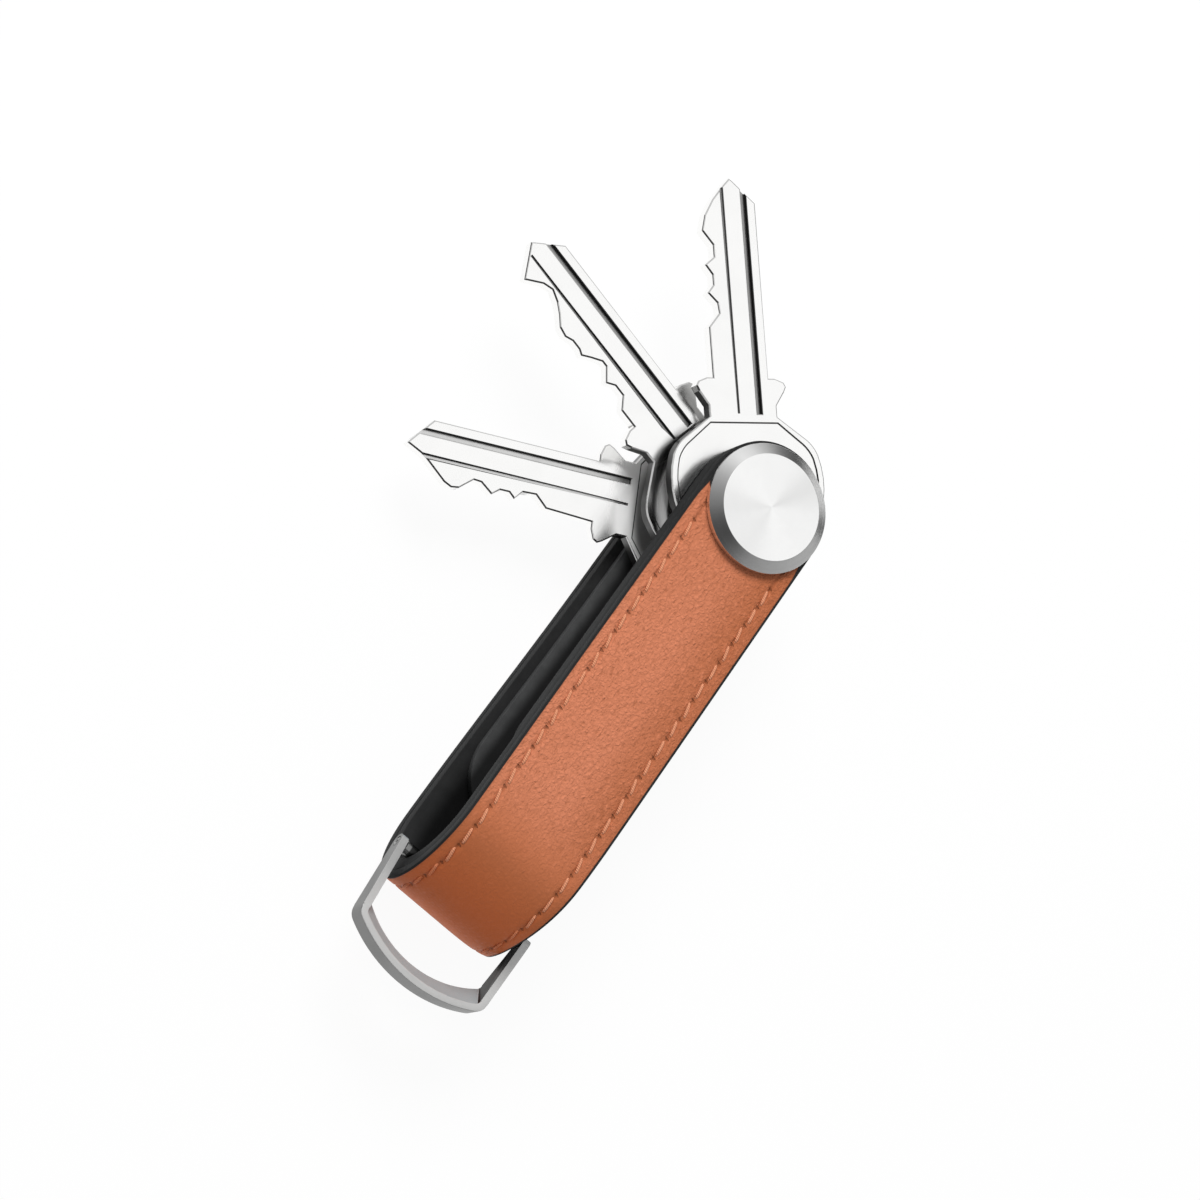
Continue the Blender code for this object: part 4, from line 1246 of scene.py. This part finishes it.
class ORGANIZER_OT_leather(bpy.types.Operator):
    """Add the tan leather of the strap"""

    bl_idname = "organizer.leather"
    bl_label = "Leather"

    def execute(self, context):
        strap = context.scene.organizer_strap
        paint = black_edge_material("edge_paint", strap.lining_colour, scale=3600)
        add_piece("strap_leather", make_leather(strap), [leather_material(strap), paint], "strap",
                  "leather_band", round_turn=50)
        return {"FINISHED"}


class ORGANIZER_OT_lining(bpy.types.Operator):
    """Add the black lining and the two pads"""

    bl_idname = "organizer.lining"
    bl_label = "Lining and pads"

    def execute(self, context):
        strap = context.scene.organizer_strap
        # The lining is darker towards the strap's middle as painted shade.
        lining = black_edge_material("lining_black", strap.lining_colour, scale=3000,
                                     dim_from=8.8 * MM, dim_to=6 * MM)
        pad = black_edge_material("pad_coating", strap.lining_colour, scale=2500)
        # The rear pad's lighter copy is a painted highlight on its rounded shoulder, darker towards the
        # middle as painted shade.
        highlit_ridge = black_edge_material("highlit_ridge_coating", shade_of(strap.lining_colour, 2.6), scale=2500,
                                    dim_from=7.8 * MM, dim_to=6 * MM)
        add_piece("strap_lining", make_lining(strap), [lining], "strap", "lining_band",
                  round_turn=50)
        add_piece("pad_front", make_pad(strap, is_front=True), [pad], "strap", "front_pad",
                  round_turn=50)
        add_piece("pad_rear", make_pad(strap, is_front=False), [highlit_ridge], "strap", "rear_pad",
                  round_turn=50)
        return {"FINISHED"}


class ORGANIZER_OT_stitching(bpy.types.Operator):
    """Add the two rows of stitches"""

    bl_idname = "organizer.stitching"
    bl_label = "Stitching"

    def execute(self, context):
        strap = context.scene.organizer_strap
        add_piece("stitches", make_stitching(strap), [thread_material(strap)], "strap",
                  None, round_turn=60)
        return {"FINISHED"}


class ORGANIZER_OT_discs(bpy.types.Operator):
    """Add the two brushed discs"""

    bl_idname = "organizer.discs"
    bl_label = "Discs"

    def execute(self, context):
        metal = context.scene.organizer_metal
        # The face's fans are a painted reflection, the bevel's darker side painted shade.
        turned = turned_metal("disc_steel", metal.disc_colour, roughness=0.2, sectors=0.35)
        bevelled = turned_metal("disc_bevel_steel", metal.disc_colour, roughness=0.11, dim_turn=-0.14)
        finishes = [turned, bevelled]
        add_piece("disc_front", make_front_disc(metal), finishes, "strap", "front_disc",
                  round_turn=6)
        add_piece("disc_rear", make_rear_disc(metal), finishes, "strap", "rear_disc",
                  round_turn=6)
        return {"FINISHED"}


class ORGANIZER_OT_keys(bpy.types.Operator):
    """Add the three keys"""

    bl_idname = "organizer.keys"
    bl_label = "Keys"

    def execute(self, context):
        metal = context.scene.organizer_metal
        nickel = metal.key_colour
        plate = key_metal("key_plate", nickel, roughness=0.17, wear=0.12)
        # The middle key takes a painted shadow about the post and on its right shoulder, the rear key a
        # painted shadow about the post and a matte ring.
        painted_shadow = key_metal("key_plate_painted_shadow", nickel, roughness=0.17, wear=0.12,
                         painted_shadow_zone=(16 * MM, 13.8 * MM, 13.2 * MM), matte_zone=(13.5 * MM, 11.3 * MM),
                         painted_shadow_ear=key_direction("key_middle"))
        matte = key_metal("key_plate_matte_shadowed", nickel, roughness=0.17, wear=0.12,
                          painted_shadow_zone=(14.6 * MM, 12.6 * MM, 0), matte_zone=(18.5 * MM, 0))
        # The grooves, groove floors, chamfers and bow walls are the nickel darkened as painted shade, the
        # cut edge lightened as a painted highlight.
        groove = key_metal("key_groove", shade_of(nickel, 0.07), roughness=0.4, wear=0.3)
        floor = key_metal("key_groove_floor", shade_of(nickel, 0.35), roughness=0.3, wear=0.3)
        pale = key_metal("key_groove_pale", shade_of(nickel, 0.7), roughness=0.3, wear=0.3)
        milled = key_metal("key_milled_edge", shade_of(nickel, 1.02), roughness=0.12, wear=0.06)
        chamfer = key_metal("key_chamfer", shade_of(nickel, 0.62), roughness=0.25, wear=0.4)
        shaded = key_metal("key_bow_edge", shade_of(nickel, 0.13), roughness=0.35, wear=0.5)
        for node, body, face, bed in (("key_front", "front_key", plate, floor),
                                      ("key_middle", "middle_key", painted_shadow, floor),
                                      ("key_rear", "rear_key", matte, pale)):
            finishes = [face, groove, milled, chamfer, shaded, bed]
            add_piece(node + "_dressed", make_key(node, metal), finishes, body, node,
                      round_turn=15)
        return {"FINISHED"}


class ORGANIZER_OT_ring(bpy.types.Operator):
    """Add the ring, its pin and the pin's screw"""

    bl_idname = "organizer.ring"
    bl_label = "Ring"

    def execute(self, context):
        metal = context.scene.organizer_metal
        steel = metal.ring_colour
        # The wall, the bow's inside and the legs' insides are the ring's steel darkened as painted shade.
        finishes = [satin_metal("ring_front", steel, roughness=0.42, metallic=0.4),
                    satin_metal("ring_wall", shade_of(steel, 0.36), roughness=0.35),
                    satin_metal("ring_inside", metal.inside_colour, roughness=0.5, metallic=0.1),
                    satin_metal("ring_leg_inside", shade_of(steel, 0.08), roughness=0.4)]
        add_piece("ring", make_ring(metal), finishes, "ring", "d_ring", round_turn=18)
        pin = pin_material(metal)
        add_piece("ring_pin", broken_copy("ring_post", 40, metal.fitting_edge, 2), [pin], "strap",
                  "ring_post", round_turn=35)
        add_piece("ring_pin_screw", broken_copy("ring_screw", 40, metal.fitting_edge, 2), [pin],
                  "strap", "ring_screw", round_turn=35)
        return {"FINISHED"}


class ORGANIZER_OT_fittings(bpy.types.Operator):
    """Add the lock screw and finish the post, bushes, washers and spacers"""

    bl_idname = "organizer.fittings"
    bl_label = "Post fittings"

    def execute(self, context):
        metal = context.scene.organizer_metal
        turned = turned_metal("fitting_steel", metal.fitting_colour, roughness=0.3, line=0.09 * MM)
        screw = turned_metal("screw_steel", shade_of(metal.fitting_colour, 1.3), roughness=0.25)
        add_piece("screw", broken_copy("lock_screw", 40, metal.fitting_edge, 3), [screw], "screw",
                  "lock_screw", round_turn=35)
        for node in ("pivot_post", "front_bush", "rear_bush", "front_spacer", "upper_spacer",
                     "lower_spacer", "rear_spacer"):
            give_finish(node, turned)
        plastic = washer_material(metal)
        for node in ("front_washer", "rear_washer"):
            give_finish(node, plastic)
        return {"FINISHED"}


class ORGANIZER_PT_panel(bpy.types.Panel):
    """Settings and pieces of the key organizer"""

    bl_idname = "ORGANIZER_PT_panel"
    bl_label = "Key organizer"
    bl_space_type = "VIEW_3D"
    bl_region_type = "UI"
    bl_category = "Key Organizer"

    def draw(self, context):
        layout = self.layout
        scene = context.scene
        for settings in (scene.organizer_strap, scene.organizer_metal, scene.organizer_stage):
            box = layout.box()
            for name in settings.__annotations__:
                box.prop(settings, name)
        column = layout.column(align=True)
        for operator in OPERATORS:
            column.operator(operator.bl_idname)


SETTINGS = (StrapSettings, MetalSettings, StageSettings)
OPERATORS = (ORGANIZER_OT_stage, ORGANIZER_OT_leather, ORGANIZER_OT_lining, ORGANIZER_OT_stitching,
             ORGANIZER_OT_discs, ORGANIZER_OT_keys, ORGANIZER_OT_ring, ORGANIZER_OT_fittings)


def register():
    """Add the settings, the operators and the panel to the program."""
    for settings in SETTINGS:
        bpy.utils.register_class(settings)
    for operator in OPERATORS:
        bpy.utils.register_class(operator)
    bpy.utils.register_class(ORGANIZER_PT_panel)
    bpy.types.Scene.organizer_strap = PointerProperty(type=StrapSettings)
    bpy.types.Scene.organizer_metal = PointerProperty(type=MetalSettings)
    bpy.types.Scene.organizer_stage = PointerProperty(type=StageSettings)


def unregister():
    """Take the settings, the operators and the panel away again."""
    del bpy.types.Scene.organizer_stage
    del bpy.types.Scene.organizer_metal
    del bpy.types.Scene.organizer_strap
    bpy.utils.unregister_class(ORGANIZER_PT_panel)
    for operator in reversed(OPERATORS):
        bpy.utils.unregister_class(operator)
    for settings in reversed(SETTINGS):
        bpy.utils.unregister_class(settings)


def main():
    """Build the whole scene."""
    register()
    bpy.ops.organizer.stage()
    bpy.ops.organizer.leather()
    bpy.ops.organizer.lining()
    bpy.ops.organizer.stitching()
    bpy.ops.organizer.discs()
    bpy.ops.organizer.keys()
    bpy.ops.organizer.ring()
    bpy.ops.organizer.fittings()


if __name__ == "__main__":
    main()
